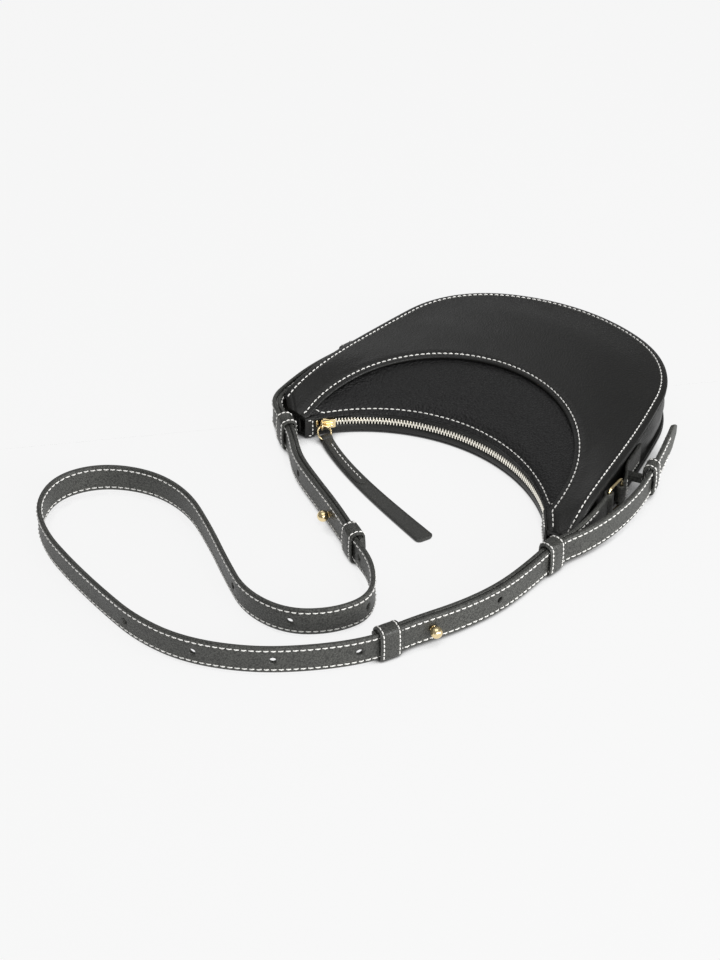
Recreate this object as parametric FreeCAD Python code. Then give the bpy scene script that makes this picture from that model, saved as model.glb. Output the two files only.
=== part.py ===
import FreeCAD, Part
import math
import os

# Half moon leather shoulder bag lying on its back, front face up.
# x runs along the line between the two horn tips, y from the horns towards the outer arc, z up.
# Shapes are drawn from the horn line; the origin is on the floor under the middle of the back panel.

# Driving sizes in millimetres
BAG_HALF = 113.0  # half width over the rim at the horns
BAG_DEPTH = 210.0  # horn line to the outermost edge of the arc
ARC_HEIGHT = 34.0  # floor to the front face over most of the bag
HORN_HEIGHT = 18.0  # floor to the front face at the ends of the horns
HORN_RISE = 28.0  # length over which the horns rise to the full height
MOUTH_HEIGHT = 19.0  # floor to the front face along the zip mouth
MOUTH_RISE = 46.0  # length over which the front rises from the mouth to the full height
HORN_END = 11.0  # where the horns are cut off, above the horn line
HORN_CUT = 9.0  # slanting cut across the outer corner of each horn
REST_Y = 130.0  # horn line to the origin
MOUTH_RADIUS = 112.0  # curve of the zip mouth
MOUTH_TOP = 58.0  # horn line to the middle of the zip mouth
OVERLAY_RADIUS = 89.5  # inner edge of the front overlay
OVERLAY_CENTRE = 20.0  # height of that edge's centre above the horn line
LEATHER = 1.6
LINING = 0.8
BOARD = 1.2
FLANGE = 1.2  # turned-out edge of the gusset
RIM = 4.0  # how far the panels stand out past the gusset wall
STRAP_WIDTH = 18.0
STRAP_THICK = 2.6
KEEPER_WALL = 1.3
HOLE_PITCH = 47.0
ZIP_MIDDLE = 9.0  # height of the zip's centre line
ZIP_PITCH = 2.03
RING_WIRE = 2.0
STUD_BALL = 3.6  # radius

# Clearances in millimetres
SLIDE = 0.3  # between pieces that move past each other
NEAR = 0.1  # between curved faces of pieces that are sewn together
RING_CLEAR = 0.847604  # between the rim and the side rings beside it

# Sizes that follow
HORN_TILT = math.degrees(math.atan2(ARC_HEIGHT - HORN_HEIGHT, HORN_RISE))
MOUTH_SLOPE = (ARC_HEIGHT - MOUTH_HEIGHT) / MOUTH_RISE
MOUTH_Y = MOUTH_TOP - MOUTH_RADIUS
STRAP_FLOOR = KEEPER_WALL + SLIDE
STRAP_MID = STRAP_FLOOR + STRAP_WIDTH / 2
LAYER = STRAP_THICK + SLIDE
REACH = 3 * BAG_DEPTH
APEX_RADIUS = 1.106 * BAG_HALF
SHOULDER_RADIUS = 0.726 * BAG_HALF
APEX_ANGLE = math.radians(24)
SHOULDER_ANGLE = math.radians(78)
SIDE_ANGLE = math.radians(88)

# Where the strap bends up from the horns, and where its hardware sits
SWING_Y = -33.0
RING_Y = 46.0
RING_GAP = 14.0

os.makedirs("parts", exist_ok=True)
V = FreeCAD.Vector
X = V(1, 0, 0)
Y = V(0, 1, 0)
Z = V(0, 0, 1)


def save(name, shape):
    placed = shape.copy()
    placed.translate(V(0, -REST_Y, 0))
    placed.exportStep("parts/" + name + ".step")


def box(x0, x1, y0, y1, z0, z1):
    return Part.makeBox(x1 - x0, y1 - y0, z1 - z0, V(x0, y0, z0))


def mirrored(shape):
    return shape.mirror(V(0, 0, 0), X)


def polygon_face(points):
    return Part.Face(Part.makePolygon(points + [points[0]]))


def punch(start, along, up, way, radius, length, sides=8):
    """Many-sided bar that runs from start, as wide as radius at its flats."""
    reach = radius / math.cos(math.pi / sides)
    turns = [2 * math.pi * (i + 0.5) / sides for i in range(sides)]
    corners = [start + along * (reach * math.cos(a)) + up * (reach * math.sin(a)) for a in turns]
    return polygon_face(corners).extrude(way * length)


def flat_sided(rings, closed=False):
    """Solid through rings of corners, with a flat face between each two neighbouring corners."""
    pairs = list(zip(rings, rings[1:]))
    if closed:
        pairs.append((rings[-1], rings[0]))
        faces = []
    else:
        faces = [polygon_face(rings[0]), polygon_face(rings[-1])]
    for one, two in pairs:
        for i in range(len(one)):
            faces.append(polygon_face([one[i - 1], one[i], two[i], two[i - 1]]))
    shell = Part.Shell(faces)
    shell.sewShape()
    solid = Part.Solid(shell)
    if solid.Volume < 0:
        solid.reverse()
    return solid


# Outer edge of the body: an apex arc, two shoulder arcs and two long side arcs, all tangent
def polar(centre, radius, angle):
    return V(centre.x + radius * math.sin(angle), centre.y + radius * math.cos(angle), 0)


APEX = V(0, BAG_DEPTH - APEX_RADIUS, 0)
SHOULDER = polar(APEX, APEX_RADIUS - SHOULDER_RADIUS, APEX_ANGLE)
SIDE_TOP = polar(SHOULDER, SHOULDER_RADIUS, SHOULDER_ANGLE)
SIDE_RADIUS = (SIDE_TOP.y - HORN_END) / (math.cos(SHOULDER_ANGLE) - math.cos(SIDE_ANGLE))
SIDE = polar(SIDE_TOP, -SIDE_RADIUS, SHOULDER_ANGLE)


def arc(centre, radius, start, end):
    middle = (start + end) / 2
    curve = Part.Arc(polar(centre, radius, start), polar(centre, radius, middle), polar(centre, radius, end))
    return curve.toShape()


def flank_x(y, inset):
    """Where the body's right side lies at height y, moved in by inset."""
    return SIDE.x + math.sqrt((SIDE_RADIUS - inset) ** 2 - (y - SIDE.y) ** 2)


def horn_corner(inset):
    """Everything beyond the slanting end of the right horn, moved in by inset."""
    block = box(0, REACH, -REACH, REACH, -REACH, REACH)
    block.rotate(V(0, 0, 0), Z, -45)
    block.translate(polar(SIDE, SIDE_RADIUS, SIDE_ANGLE) - X * HORN_CUT + V(-1, 1, 0).normalize() * inset)
    return block


def body_prism(inset, height, tail=0.0):
    """Solid inside the outer edge moved in by inset; tail carries it on below the horn ends."""
    left_side = V(-SIDE.x, SIDE.y, 0)
    left_shoulder = V(-SHOULDER.x, SHOULDER.y, 0)
    edges = [arc(left_side, SIDE_RADIUS - inset, -SIDE_ANGLE, -SHOULDER_ANGLE)]
    edges.append(arc(left_shoulder, SHOULDER_RADIUS - inset, -SHOULDER_ANGLE, -APEX_ANGLE))
    edges.append(arc(APEX, APEX_RADIUS - inset, -APEX_ANGLE, APEX_ANGLE))
    edges.append(arc(SHOULDER, SHOULDER_RADIUS - inset, APEX_ANGLE, SHOULDER_ANGLE))
    edges.append(arc(SIDE, SIDE_RADIUS - inset, SHOULDER_ANGLE, SIDE_ANGLE))
    right_end = polar(SIDE, SIDE_RADIUS - inset, SIDE_ANGLE)
    left_end = V(-right_end.x, right_end.y, 0)
    if tail > 0:
        low_right = V(right_end.x, right_end.y - tail, 0)
        low_left = V(left_end.x, left_end.y - tail, 0)
        edges.append(Part.makeLine(right_end, low_right))
        edges.append(Part.makeLine(low_right, low_left))
        edges.append(Part.makeLine(low_left, left_end))
    else:
        edges.append(Part.makeLine(right_end, left_end))
    corner = horn_corner(inset)
    return Part.Face(Part.Wire(edges)).extrude(V(0, 0, height)).cut([corner, mirrored(corner)])


def crescent(height):
    return body_prism(0, height).cut(Part.makeCylinder(MOUTH_RADIUS, REACH, V(0, MOUTH_Y, -REACH / 2)))


def edge_band(outer, inner, height):
    return body_prism(outer, height).cut(body_prism(inner, height, BAG_DEPTH / 10))


def funnel(narrow, wide, foot, sides):
    """Upright cone about the mouth's centre that widens upwards, with flat sides if sides is given."""
    height = (wide - narrow) * MOUTH_SLOPE
    if sides == 0:
        return Part.makeCone(narrow, wide, height, V(0, MOUTH_Y, foot))
    reach = 1 / math.cos(math.pi / sides)
    rings = []
    for radius, z in ((narrow, foot), (wide, foot + height)):
        turns = [2 * math.pi * (i + 0.5) / sides for i in range(sides)]
        rings.append([V(radius * reach * math.cos(a), MOUTH_Y + radius * reach * math.sin(a), z) for a in turns])
    return flat_sided(rings)


def below_front(level, sides=0):
    """Everything at least level under the front: flat on top, falling to the horns and the mouth."""
    flat = box(-REACH, REACH, -REACH, REACH, -REACH, ARC_HEIGHT - level)
    horns = box(-REACH, REACH, -REACH, REACH, -REACH, -level)
    horns.rotate(V(0, 0, 0), X, HORN_TILT)
    horns.translate(V(0, HORN_END, HORN_HEIGHT))
    narrow = MOUTH_RADIUS / 2
    wide = 3 * MOUTH_RADIUS
    foot = MOUTH_HEIGHT - level * math.hypot(1, MOUTH_SLOPE) - (MOUTH_RADIUS - narrow) * MOUTH_SLOPE
    return flat.common(horns).cut(funnel(narrow, wide, foot, sides))


def front_layer(upright, top, bottom, sides=0):
    """Slice of an upright solid between two levels under the front face."""
    return upright.common(below_front(top, sides)).cut(below_front(bottom, sides))


# Front, back and gusset
TALL = ARC_HEIGHT + HORN_HEIGHT
overlay = crescent(TALL).cut(Part.makeCylinder(OVERLAY_RADIUS, TALL, V(0, OVERLAY_CENTRE, 0)))
overlay = overlay.cut(box(-OVERLAY_RADIUS, OVERLAY_RADIUS, -REACH, OVERLAY_CENTRE, -REACH, REACH))
under_panels = 2 * LEATHER
save("front_overlay", front_layer(overlay, 0, LEATHER))
save("front_yoke", front_layer(crescent(TALL), LEATHER, under_panels))
save("back_panel", crescent(LEATHER))

wall_inner = RIM + LEATHER
wall = edge_band(RIM, wall_inner, TALL)
wall.translate(V(0, 0, LEATHER))
wall = wall.common(below_front(under_panels))
back_flange = edge_band(0, wall_inner, FLANGE)
back_flange.translate(V(0, 0, LEATHER))
front_flange = front_layer(edge_band(0, wall_inner, TALL), under_panels, under_panels + FLANGE)
gusset = wall.fuse([back_flange, front_flange]).removeSplitter()
save("gusset", gusset)

# Inside: cloth linings, the back one on a stiffening board, and a slip pocket
inside = wall_inner + NEAR
mouth_depth = 7.0
lined = 2.0


def cut_cloth(inset, height, tail=0.0):
    """Solid with straight sides that fits inside the outer edge moved in by inset."""
    turns = [(SIDE, SIDE_RADIUS, SIDE_ANGLE), (SIDE, SIDE_RADIUS, (SIDE_ANGLE + SHOULDER_ANGLE) / 2)]
    bend = (APEX_ANGLE - SHOULDER_ANGLE) / 4
    turns += [(SHOULDER, SHOULDER_RADIUS, SHOULDER_ANGLE + bend * i) for i in range(5)]
    turns.append((APEX, APEX_RADIUS, APEX_ANGLE / 3))
    right = [polar(centre, radius - inset, angle) for centre, radius, angle in turns]
    if tail > 0:
        right.insert(0, right[0] - Y * tail)
    left = [V(-p.x, p.y, 0) for p in reversed(right)]
    corner = horn_corner(inset)
    cloth = polygon_face(right + left).extrude(V(0, 0, height)).cut([corner, mirrored(corner)])
    return cloth.cut(box(-REACH, REACH, -REACH, HORN_END + lined - tail, -REACH, REACH))


CLOTH_SIDES = 24
lining_mouth = punch(V(0, MOUTH_Y, -REACH / 2), X, Y, Z, MOUTH_RADIUS + mouth_depth, REACH, CLOTH_SIDES)
lining_top = LEATHER + BOARD + LINING
back_lining = cut_cloth(inside, BOARD + LINING).cut(lining_mouth)
back_lining.translate(V(0, 0, LEATHER))
save("back_lining", back_lining)

front_lining = cut_cloth(inside, TALL).cut(lining_mouth)
save("front_lining", front_layer(front_lining, under_panels, under_panels + LINING, CLOTH_SIDES))

gusset_lining = cut_cloth(inside, TALL).cut(cut_cloth(inside + LINING, TALL, BAG_DEPTH / 10))
gusset_lining.translate(V(0, 0, lining_top))
save("gusset_lining", gusset_lining.common(below_front(under_panels + LINING, CLOTH_SIDES)))

pocket_half = 0.55 * BAG_HALF
pocket_foot = MOUTH_TOP + 0.82 * (BAG_DEPTH - MOUTH_TOP)
pocket_head = MOUTH_TOP + 0.2 * (BAG_DEPTH - MOUTH_TOP)
pocket = box(-pocket_half, pocket_half, pocket_head, pocket_foot, lining_top, lining_top + LINING)
corners = [e for e in pocket.Edges if abs(e.Vertexes[0].Z - e.Vertexes[1].Z) > LINING / 2]
save("slip_pocket", pocket.makeChamfer(8.0, corners))


# Zip mouth: everything here is drawn on the mouth's arc, angles measured from +x
def sector(inner, outer, z0, z1, start, end):
    """Curved upright strip between two radii about the mouth's centre."""
    ring = Part.makeCylinder(outer, z1 - z0, V(0, MOUTH_Y, z0), Z, end - start)
    ring = ring.cut(Part.makeCylinder(inner, z1 - z0, V(0, MOUTH_Y, z0)))
    ring.rotate(V(0, MOUTH_Y, 0), Z, start)
    return ring


def on_arc(shape, angle):
    """Turns a shape drawn at the top of the mouth round to the given angle."""
    turned = shape.copy()
    turned.rotate(V(0, MOUTH_Y, 0), Z, angle - 90)
    return turned


MOUTH_END = math.degrees(math.asin((HORN_END - MOUTH_Y) / MOUTH_RADIUS))
SLIDER_HALF = 5.0
slider_span = math.degrees(SLIDER_HALF / MOUTH_RADIUS)
tab_span = math.degrees(6.5 / MOUTH_RADIUS)
tooth_deep = 2.4
face = MOUTH_RADIUS + LEATHER / 2 - 0.3
STOP_HALF = 0.8


def side_room(angle):
    """How far the deepest spot of a zip piece lies inside the body's right side and its slanting end."""
    turn = math.radians(angle)
    spot = V(0, MOUTH_Y, 0) + V(math.cos(turn), math.sin(turn), 0) * (face + tooth_deep)
    slant = polar(SIDE, SIDE_RADIUS, SIDE_ANGLE) - X * HORN_CUT
    return min(SIDE_RADIUS - spot.distanceToPoint(SIDE), (slant - spot).dot(V(1, -1, 0).normalize()))


stop_angle = MOUTH_END + tab_span + math.degrees(2.0 / MOUTH_RADIUS)
while side_room(stop_angle) < inside + LINING + STOP_HALF + SLIDE:
    stop_angle += 0.1
REST_ANGLE = 180 - stop_angle - slider_span - 1.0
OPEN_ANGLE = stop_angle + slider_span + 1.0
print("slider rests at", round(REST_ANGLE, 2), "and opens to", round(OPEN_ANGLE, 2))

tooth_reach = 2.4
tooth_gap = 0.5
band_gap = tooth_reach + 0.5
tape_in = MOUTH_RADIUS + LEATHER + NEAR
tape_out = tape_in + 0.6

band_out = MOUTH_RADIUS + LEATHER
front_band = sector(MOUTH_RADIUS, band_out, ZIP_MIDDLE + band_gap, TALL, MOUTH_END, 180 - MOUTH_END)
save("front_zip_band", front_band.common(below_front(under_panels)))
back_band = sector(MOUTH_RADIUS, band_out, LEATHER, ZIP_MIDDLE - band_gap, MOUTH_END, 180 - MOUTH_END)
save("back_zip_band", back_band)

front_tape = sector(tape_in, tape_out, ZIP_MIDDLE + tooth_reach, TALL, MOUTH_END + 1, 179 - MOUTH_END)
save("front_zip_tape", front_tape.common(below_front(under_panels)))
back_tape = sector(tape_in, tape_out, LEATHER, ZIP_MIDDLE - tooth_reach, MOUTH_END + 1, 179 - MOUTH_END)
save("back_zip_tape", back_tape)


def tooth(side):
    y0 = MOUTH_Y + face
    low = ZIP_MIDDLE + min(side * tooth_gap, side * tooth_reach)
    high = ZIP_MIDDLE + max(side * tooth_gap, side * tooth_reach)
    return box(-0.55, 0.55, y0, y0 + tooth_deep, low, high)


step = math.degrees(ZIP_PITCH / MOUTH_RADIUS)
first = stop_angle + 1.5
count = int((REST_ANGLE + slider_span - first) / step)
front_teeth = [on_arc(tooth(1), first + i * step) for i in range(count)]
back_teeth = [on_arc(tooth(-1), first + (i + 0.5) * step) for i in range(count)]
save("front_zip_teeth", Part.makeCompound(front_teeth))
save("back_zip_teeth", Part.makeCompound(back_teeth))
print("teeth on each tape", count)

stop_y = MOUTH_Y + face
stop_foot = ZIP_MIDDLE - tooth_reach
stop_low = box(-STOP_HALF, STOP_HALF, stop_y, stop_y + tooth_deep, stop_foot, stop_foot + 2 * tooth_reach)
save("zip_bottom_stop", on_arc(stop_low, stop_angle))
top_stops = [on_arc(tooth(side), 180 - stop_angle) for side in (1, -1)]
save("zip_top_stops", Part.makeCompound(top_stops))

end_tab = sector(MOUTH_RADIUS - LEATHER, MOUTH_RADIUS - NEAR, 0, TALL, MOUTH_END, MOUTH_END + tab_span)
end_tab = end_tab.common(below_front(LEATHER))
save("right_zip_end_tab", end_tab)
save("left_zip_end_tab", mirrored(end_tab))

# Slider: two plates joined by a thin web that runs between the rows of teeth
plate_face = MOUTH_Y + MOUTH_RADIUS - SLIDE
plate_front = plate_face - 1.6
plate_back = MOUTH_Y + face + tooth_deep + SLIDE
half_high = 4.0


def plate(y0, y1):
    nose = 0.62 * half_high
    corners = [(-SLIDER_HALF, -nose), (-SLIDER_HALF / 2, -half_high), (0.7 * SLIDER_HALF, -half_high)]
    corners += [(SLIDER_HALF, -nose), (SLIDER_HALF, nose), (0.7 * SLIDER_HALF, half_high)]
    corners += [(-SLIDER_HALF / 2, half_high), (-SLIDER_HALF, nose)]
    points = [V(x, y0, ZIP_MIDDLE + z) for x, z in corners]
    return polygon_face(points).extrude(V(0, y1 - y0, 0))


web_half = tooth_gap - SLIDE
web = box(-1.5, 1.5, plate_face, plate_back, ZIP_MIDDLE - web_half, ZIP_MIDDLE + web_half)
slider = plate(plate_front, plate_face).fuse([plate(plate_back, plate_back + 1.4), web]).removeSplitter()
save("zip_slider", on_arc(slider, REST_ANGLE))

# Bail: an upright bar on two posts at the slider's outer end, with room for the ring behind it
bail_room = 3.0
bail_bar = 1.2
bail_half = 2.7
bail_x = 0.6 - SLIDER_HALF
bail_back = plate_front - bail_room
bail = box(-0.6, 0.6, bail_back - bail_bar, plate_front, ZIP_MIDDLE - bail_half, ZIP_MIDDLE + bail_half)
bail = bail.cut(box(-2, 2, bail_back, plate_front, ZIP_MIDDLE - bail_half + 1, ZIP_MIDDLE + bail_half - 1))
bail.translate(X * bail_x)
save("slider_bail", on_arc(bail, REST_ANGLE))

# Pull ring and leather pull tab
PULL_YAW = 19.0
RING_DROOP = 42.0
PULL_RING = 4.6
PULL_WIRE = 0.65
TAB_LENGTH = 121.0
TAB_ROOT = 9.0
TAB_END = 12.0
TAB_THICK = 2.4
yaw = math.radians(PULL_YAW)
droop = math.radians(RING_DROOP)
bail_point = V(bail_x, plate_front - 0.53 * bail_room, ZIP_MIDDLE)
across = V(math.cos(yaw), math.sin(yaw), 0)
outward = V(math.sin(yaw), -math.cos(yaw), 0)
hang = outward * math.cos(droop) - Z * math.sin(droop)


def wire_ring(middle_radius, wire_radius, bars=16, sides=6):
    """Closed ring about z, bent from straight bars with a many-sided section."""
    corner = middle_radius / math.cos(math.pi / bars)
    turns = [2 * math.pi * i / sides for i in range(sides)]
    sections = []
    for i in range(bars):
        out = V(math.cos(2 * math.pi * i / bars), math.sin(2 * math.pi * i / bars), 0)
        section = [out * (corner + wire_radius * math.cos(a)) + Z * (wire_radius * math.sin(a)) for a in turns]
        sections.append(section)
    return flat_sided(sections, True)


pull_ring = wire_ring(PULL_RING, PULL_WIRE)
ring_turn = FreeCAD.Rotation(Z, across.cross(hang))
pull_ring.Placement = FreeCAD.Placement(bail_point + hang * PULL_RING, ring_turn)
save("pull_ring", on_arc(pull_ring, REST_ANGLE))

tab_point = bail_point + hang * (2 * PULL_RING)
eye_room = PULL_WIRE + 0.7
eye_radius = eye_room + 1.0
eye_half = 2.0


def tab_blank():
    """Tab drawn along +x from the ring's far side, thickness in z."""
    half = TAB_THICK / 2
    neck = 2.2 * eye_radius
    round_end = TAB_END / 2
    edges = [Part.makeLine(V(0, -eye_half, -half), V(neck, -TAB_ROOT / 2, -half))]
    edges.append(Part.makeLine(V(neck, -TAB_ROOT / 2, -half), V(TAB_LENGTH - round_end, -round_end, -half)))
    low = V(TAB_LENGTH - round_end, -round_end, -half)
    tip = V(TAB_LENGTH, 0, -half)
    high = V(TAB_LENGTH - round_end, round_end, -half)
    edges.append(Part.Arc(low, tip, high).toShape())
    edges.append(Part.makeLine(high, V(neck, TAB_ROOT / 2, -half)))
    edges.append(Part.makeLine(V(neck, TAB_ROOT / 2, -half), V(0, eye_half, -half)))
    edges.append(Part.makeLine(V(0, eye_half, -half), V(0, -eye_half, -half)))
    strip = Part.Face(Part.Wire(edges)).extrude(V(0, 0, TAB_THICK))
    eye = punch(V(0, -eye_half, 0), X, Z, Y, eye_radius, 2 * eye_half, 12)
    room = punch(V(0, -TAB_END / 2, 0), X, Z, Y, eye_room, TAB_END)
    return strip.fuse(eye).cut(room).removeSplitter()


tab = tab_blank()
tab_drop = math.degrees(math.asin((tab_point.z - TAB_THICK / 2 - 0.4) / TAB_LENGTH))
tab.rotate(V(0, 0, 0), Y, tab_drop)
tab.rotate(V(0, 0, 0), Z, PULL_YAW - 90)
tab.translate(tab_point)
save("pull_tab", on_arc(tab, REST_ANGLE))


# Strap: a flat ribbon on edge that follows straight runs joined by tangent arcs
class Route:
    def __init__(self, points):
        self.parts = []
        corners = [V(x, y, 0) for x, y in points]
        start = corners[0]
        for before, here, after in zip(corners, corners[1:], corners[2:]):
            into = (here - before).normalize()
            out = (after - here).normalize()
            turn = math.atan2(into.cross(out).z, into.dot(out))
            cut = 0.45 * min(here.distanceToPoint(before), here.distanceToPoint(after))
            radius = cut / math.tan(abs(turn) / 2)
            self.add_line(start, here - into * cut)
            self.add_arc(here - into * cut, into, radius, turn)
            start = here + out * cut
        self.add_line(start, corners[-1])
        self.length = sum(p["length"] for p in self.parts)

    def add_line(self, start, end):
        along = (end - start).normalize()
        self.parts.append({"start": start, "along": along, "bend": 0.0, "length": start.distanceToPoint(end)})

    def add_arc(self, start, along, radius, turn):
        bend = math.copysign(1 / radius, turn)
        self.parts.append({"start": start, "along": along, "bend": bend, "length": radius * abs(turn)})

    def smallest_bend(self):
        return min(1 / abs(p["bend"]) for p in self.parts if p["bend"])

    def inside_part(self, part, s):
        start, along, bend = part["start"], part["along"], part["bend"]
        side = V(-along.y, along.x, 0)
        if bend == 0:
            return start + along * s, along
        turn = bend * s
        point = start + along * (math.sin(turn) / bend) + side * ((1 - math.cos(turn)) / bend)
        return point, along * math.cos(turn) + side * math.sin(turn)

    def at(self, s):
        """Point, direction and left-hand side at distance s."""
        left = s
        for part in self.parts[:-1]:
            if left <= part["length"]:
                break
            left -= part["length"]
        else:
            part = self.parts[-1]
        point, along = self.inside_part(part, left)
        return point, along, V(-along.y, along.x, 0)

    def edges(self, s0, s1, offset):
        """Edges of the route between two distances, moved to its left by offset."""
        made = []
        done = 0.0
        for part in self.parts:
            a = max(s0 - done, 0.0)
            b = min(s1 - done, part["length"])
            done += part["length"]
            if b - a < 1e-6:
                continue
            spots = []
            for s in (a, (a + b) / 2, b):
                point, along = self.inside_part(part, s)
                spots.append(point + V(-along.y, along.x, 0) * offset)
            if part["bend"] == 0:
                made.append(Part.makeLine(spots[0], spots[2]))
            else:
                made.append(Part.Arc(*spots).toShape())
        return made

    def ribbon(self, s0, s1, low, high, z0, z1):
        """Upright ribbon between two distances and two sideways offsets."""
        one = self.edges(s0, s1, low)
        two = self.edges(s0, s1, high)
        ends = [self.at(s0), self.at(s1)]
        caps = [Part.makeLine(p + n * low, p + n * high) for p, along, n in ends]
        wire = Part.Wire(Part.__sortEdges__(one + two + caps))
        profile = Part.Face(wire)
        profile.translate(V(0, 0, z0))
        return profile.extrude(V(0, 0, z1 - z0))

    def nearest(self, x, y):
        """Distance along the route of the spot closest to a point."""
        target = V(x, y, 0)
        steps = int(self.length / 0.5)
        spots = [self.length * i / steps for i in range(steps + 1)]
        return min(spots, key=lambda s: self.at(s)[0].distanceToPoint(target))


# Route of the long strap from the right tail, round the loop on the floor, to the left tail
# Beside the bag each spot is a height and how far the strap's middle stands off the body's side there
RIGHT_BESIDE = [
    (139.0, 11.30301), (115.0, 13.18523), (89.0, 15.08578),
    (62.0, 16.80680), (34.0, 13.94532), (9.0, 7.72267),
]
LEFT_BESIDE = [
    (12.0, 4.82544), (34.0, 7.44532), (57.0, 8.80786),
    (82.0, 6.64056), (108.0, 4.98980), (134.0, 2.77424),
]
STRAP_POINTS = [(flank_x(y, 0) + off, y) for y, off in RIGHT_BESIDE]
STRAP_POINTS += [
    (112.5, -12.0), (111.5, -38.0), (108.5, -66.5), (99.0, -94.5), (85.0, -120.5), (74.0, -146.5),
    (52.5, -171.0), (23.5, -194.0),
    (-12.0, -208.5), (-46.0, -209.5), (-78.5, -201.5), (-111.0, -191.5), (-142.0, -179.5), (-166.5, -160.5),
    (-175.0, -133.0), (-160.5, -108.0), (-130.0, -95.0), (-97.5, -99.0), (-66.0, -118.0), (-37.5, -138.0),
    (-11.0, -155.0), (19.5, -156.0), (42.0, -139.0), (51.5, -115.5), (35.0, -91.0), (10.5, -77.0),
    (-17.5, -59.0), (-44.5, -44.0), (-69.0, -29.5), (-86.0, -11.0), (-101.5, -0.5),
]
STRAP_POINTS += [(-flank_x(y, 0) - off, y) for y, off in LEFT_BESIDE]
strap = Route(STRAP_POINTS)
print("long strap", round(strap.length, 1), "tightest bend", round(strap.smallest_bend(), 1))
half_thick = STRAP_THICK / 2
z_low = STRAP_FLOOR
z_high = STRAP_FLOOR + STRAP_WIDTH

# The strap swings about a line across both horns: the part on the bag ends in a half round about that line
swing = V(0, SWING_Y, STRAP_MID)
swing_round = STRAP_WIDTH / 2 + SLIDE
on_bag = box(-REACH, REACH, SWING_Y, REACH, -REACH, REACH)
on_bag = on_bag.fuse(Part.makeCylinder(STRAP_WIDTH / 2, 2 * REACH, V(-REACH, SWING_Y, STRAP_MID), X))
off_bag = box(-REACH, REACH, -REACH, SWING_Y - swing_round, -REACH, REACH)

# The bag's own lengths rise a little from that line so that they clear the edge of the back
lift = max(RING_WIRE, LEATHER + FLANGE) + 2 * SLIDE - STRAP_FLOOR
LIFT_ANGLE = math.degrees(math.asin(lift / (RING_Y - SWING_Y)))


def lifted(shape):
    raised = shape.copy()
    raised.rotate(swing, X, LIFT_ANGLE)
    return raised


def drill(s, radius):
    """Punch across the strap at distance s, at mid width."""
    point, along, side = strap.at(s)
    return punch(point - side * (4 * STRAP_THICK) + Z * STRAP_MID, along, Z, side, radius, 8 * STRAP_THICK)


def pointed(shape, s_tip, s_back):
    """Cuts the two corners off the strap's end so that it runs to a blunt point."""
    tip, along, side = strap.at(s_tip)
    back = strap.at(s_back)[0]
    aim = (tip - back).normalize()
    reach = back.distanceToPoint(tip)
    blunt = STRAP_WIDTH / 5
    for edge, inner in ((z_low - 1, z_low + blunt * 2), (z_high + 1, z_high - blunt * 2)):
        ahead = tip + aim * reach
        points = [back + Z * edge, ahead + Z * edge, ahead + Z * inner, tip + Z * inner]
        wedge = polygon_face(points).extrude(side * 40)
        wedge.translate(side * -20)
        shape = shape.cut(wedge)
    return shape


right_root = strap.nearest(111.5, SWING_Y)
left_root = strap.nearest(-66.0, SWING_Y)
right_stud_at = strap.nearest(88.0, -110.0)
left_stud_at = strap.nearest(-19.0, -56.0)
right_end_at = strap.nearest(76.5, -136.5)
left_end_at = strap.nearest(8.0, -74.0)
right_horn_at = strap.nearest(112.0, -16.5)
left_horn_at = strap.nearest(-95.0, -4.0)
right_tail_at = strap.nearest(122.0, 84.0)
left_tail_at = strap.nearest(-113.0, 90.0)

stud_neck = 1.5
hole = 1.6
buttonhole = stud_neck + SLIDE
long_strap = strap.ribbon(right_root, left_root, -half_thick, half_thick, z_low, z_high).common(off_bag)
for i in range(-1, 5):
    radius = buttonhole if i == 0 else hole
    long_strap = long_strap.cut(drill(right_stud_at + i * HOLE_PITCH, radius))
    long_strap = long_strap.cut(drill(left_stud_at - i * HOLE_PITCH, radius))
save("long_strap", long_strap)

over = 2 * STRAP_WIDTH
right_tail = strap.ribbon(0, right_root + over, -half_thick, half_thick, z_low, z_high).common(on_bag)
left_tail = strap.ribbon(left_root - over, strap.length, -half_thick, half_thick, z_low, z_high).common(on_bag)
tail_cut = 0.7 * STRAP_WIDTH
save("right_strap_tail", lifted(pointed(right_tail, 0, tail_cut)))
save("left_strap_tail", lifted(pointed(left_tail, strap.length, strap.length - tail_cut)))


def bridle_end(root, end, stud_at):
    """Inner layer of the strap from the swing line to just past its end keeper."""
    s0, s1 = min(root, end), max(root, end)
    layer = strap.ribbon(s0, s1, -half_thick - LAYER, half_thick - LAYER, z_low, z_high)
    return layer.common(off_bag).cut(drill(stud_at, stud_neck + NEAR))


past = 9.0
save("right_bridle_end", bridle_end(right_root - over, right_end_at + past, right_stud_at))
save("left_bridle_end", bridle_end(left_root + over, left_end_at - past, left_stud_at))


# Bridle roots: the same layer from the swing line past the horn to an eye round the side ring
wire = RING_WIRE / 2
far_bar = RING_Y + RING_GAP + RING_WIRE
RING_X = flank_x(RING_Y - wire, 0) + wire + RING_CLEAR
bar_room = RING_WIRE / 2 + 0.4
bar_eye = bar_room * math.sqrt(2)
eye_wall = 1.2


def inner_spot(s):
    point, along, side = strap.at(s)
    spot = point - side * LAYER
    return (spot.x, spot.y)


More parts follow.
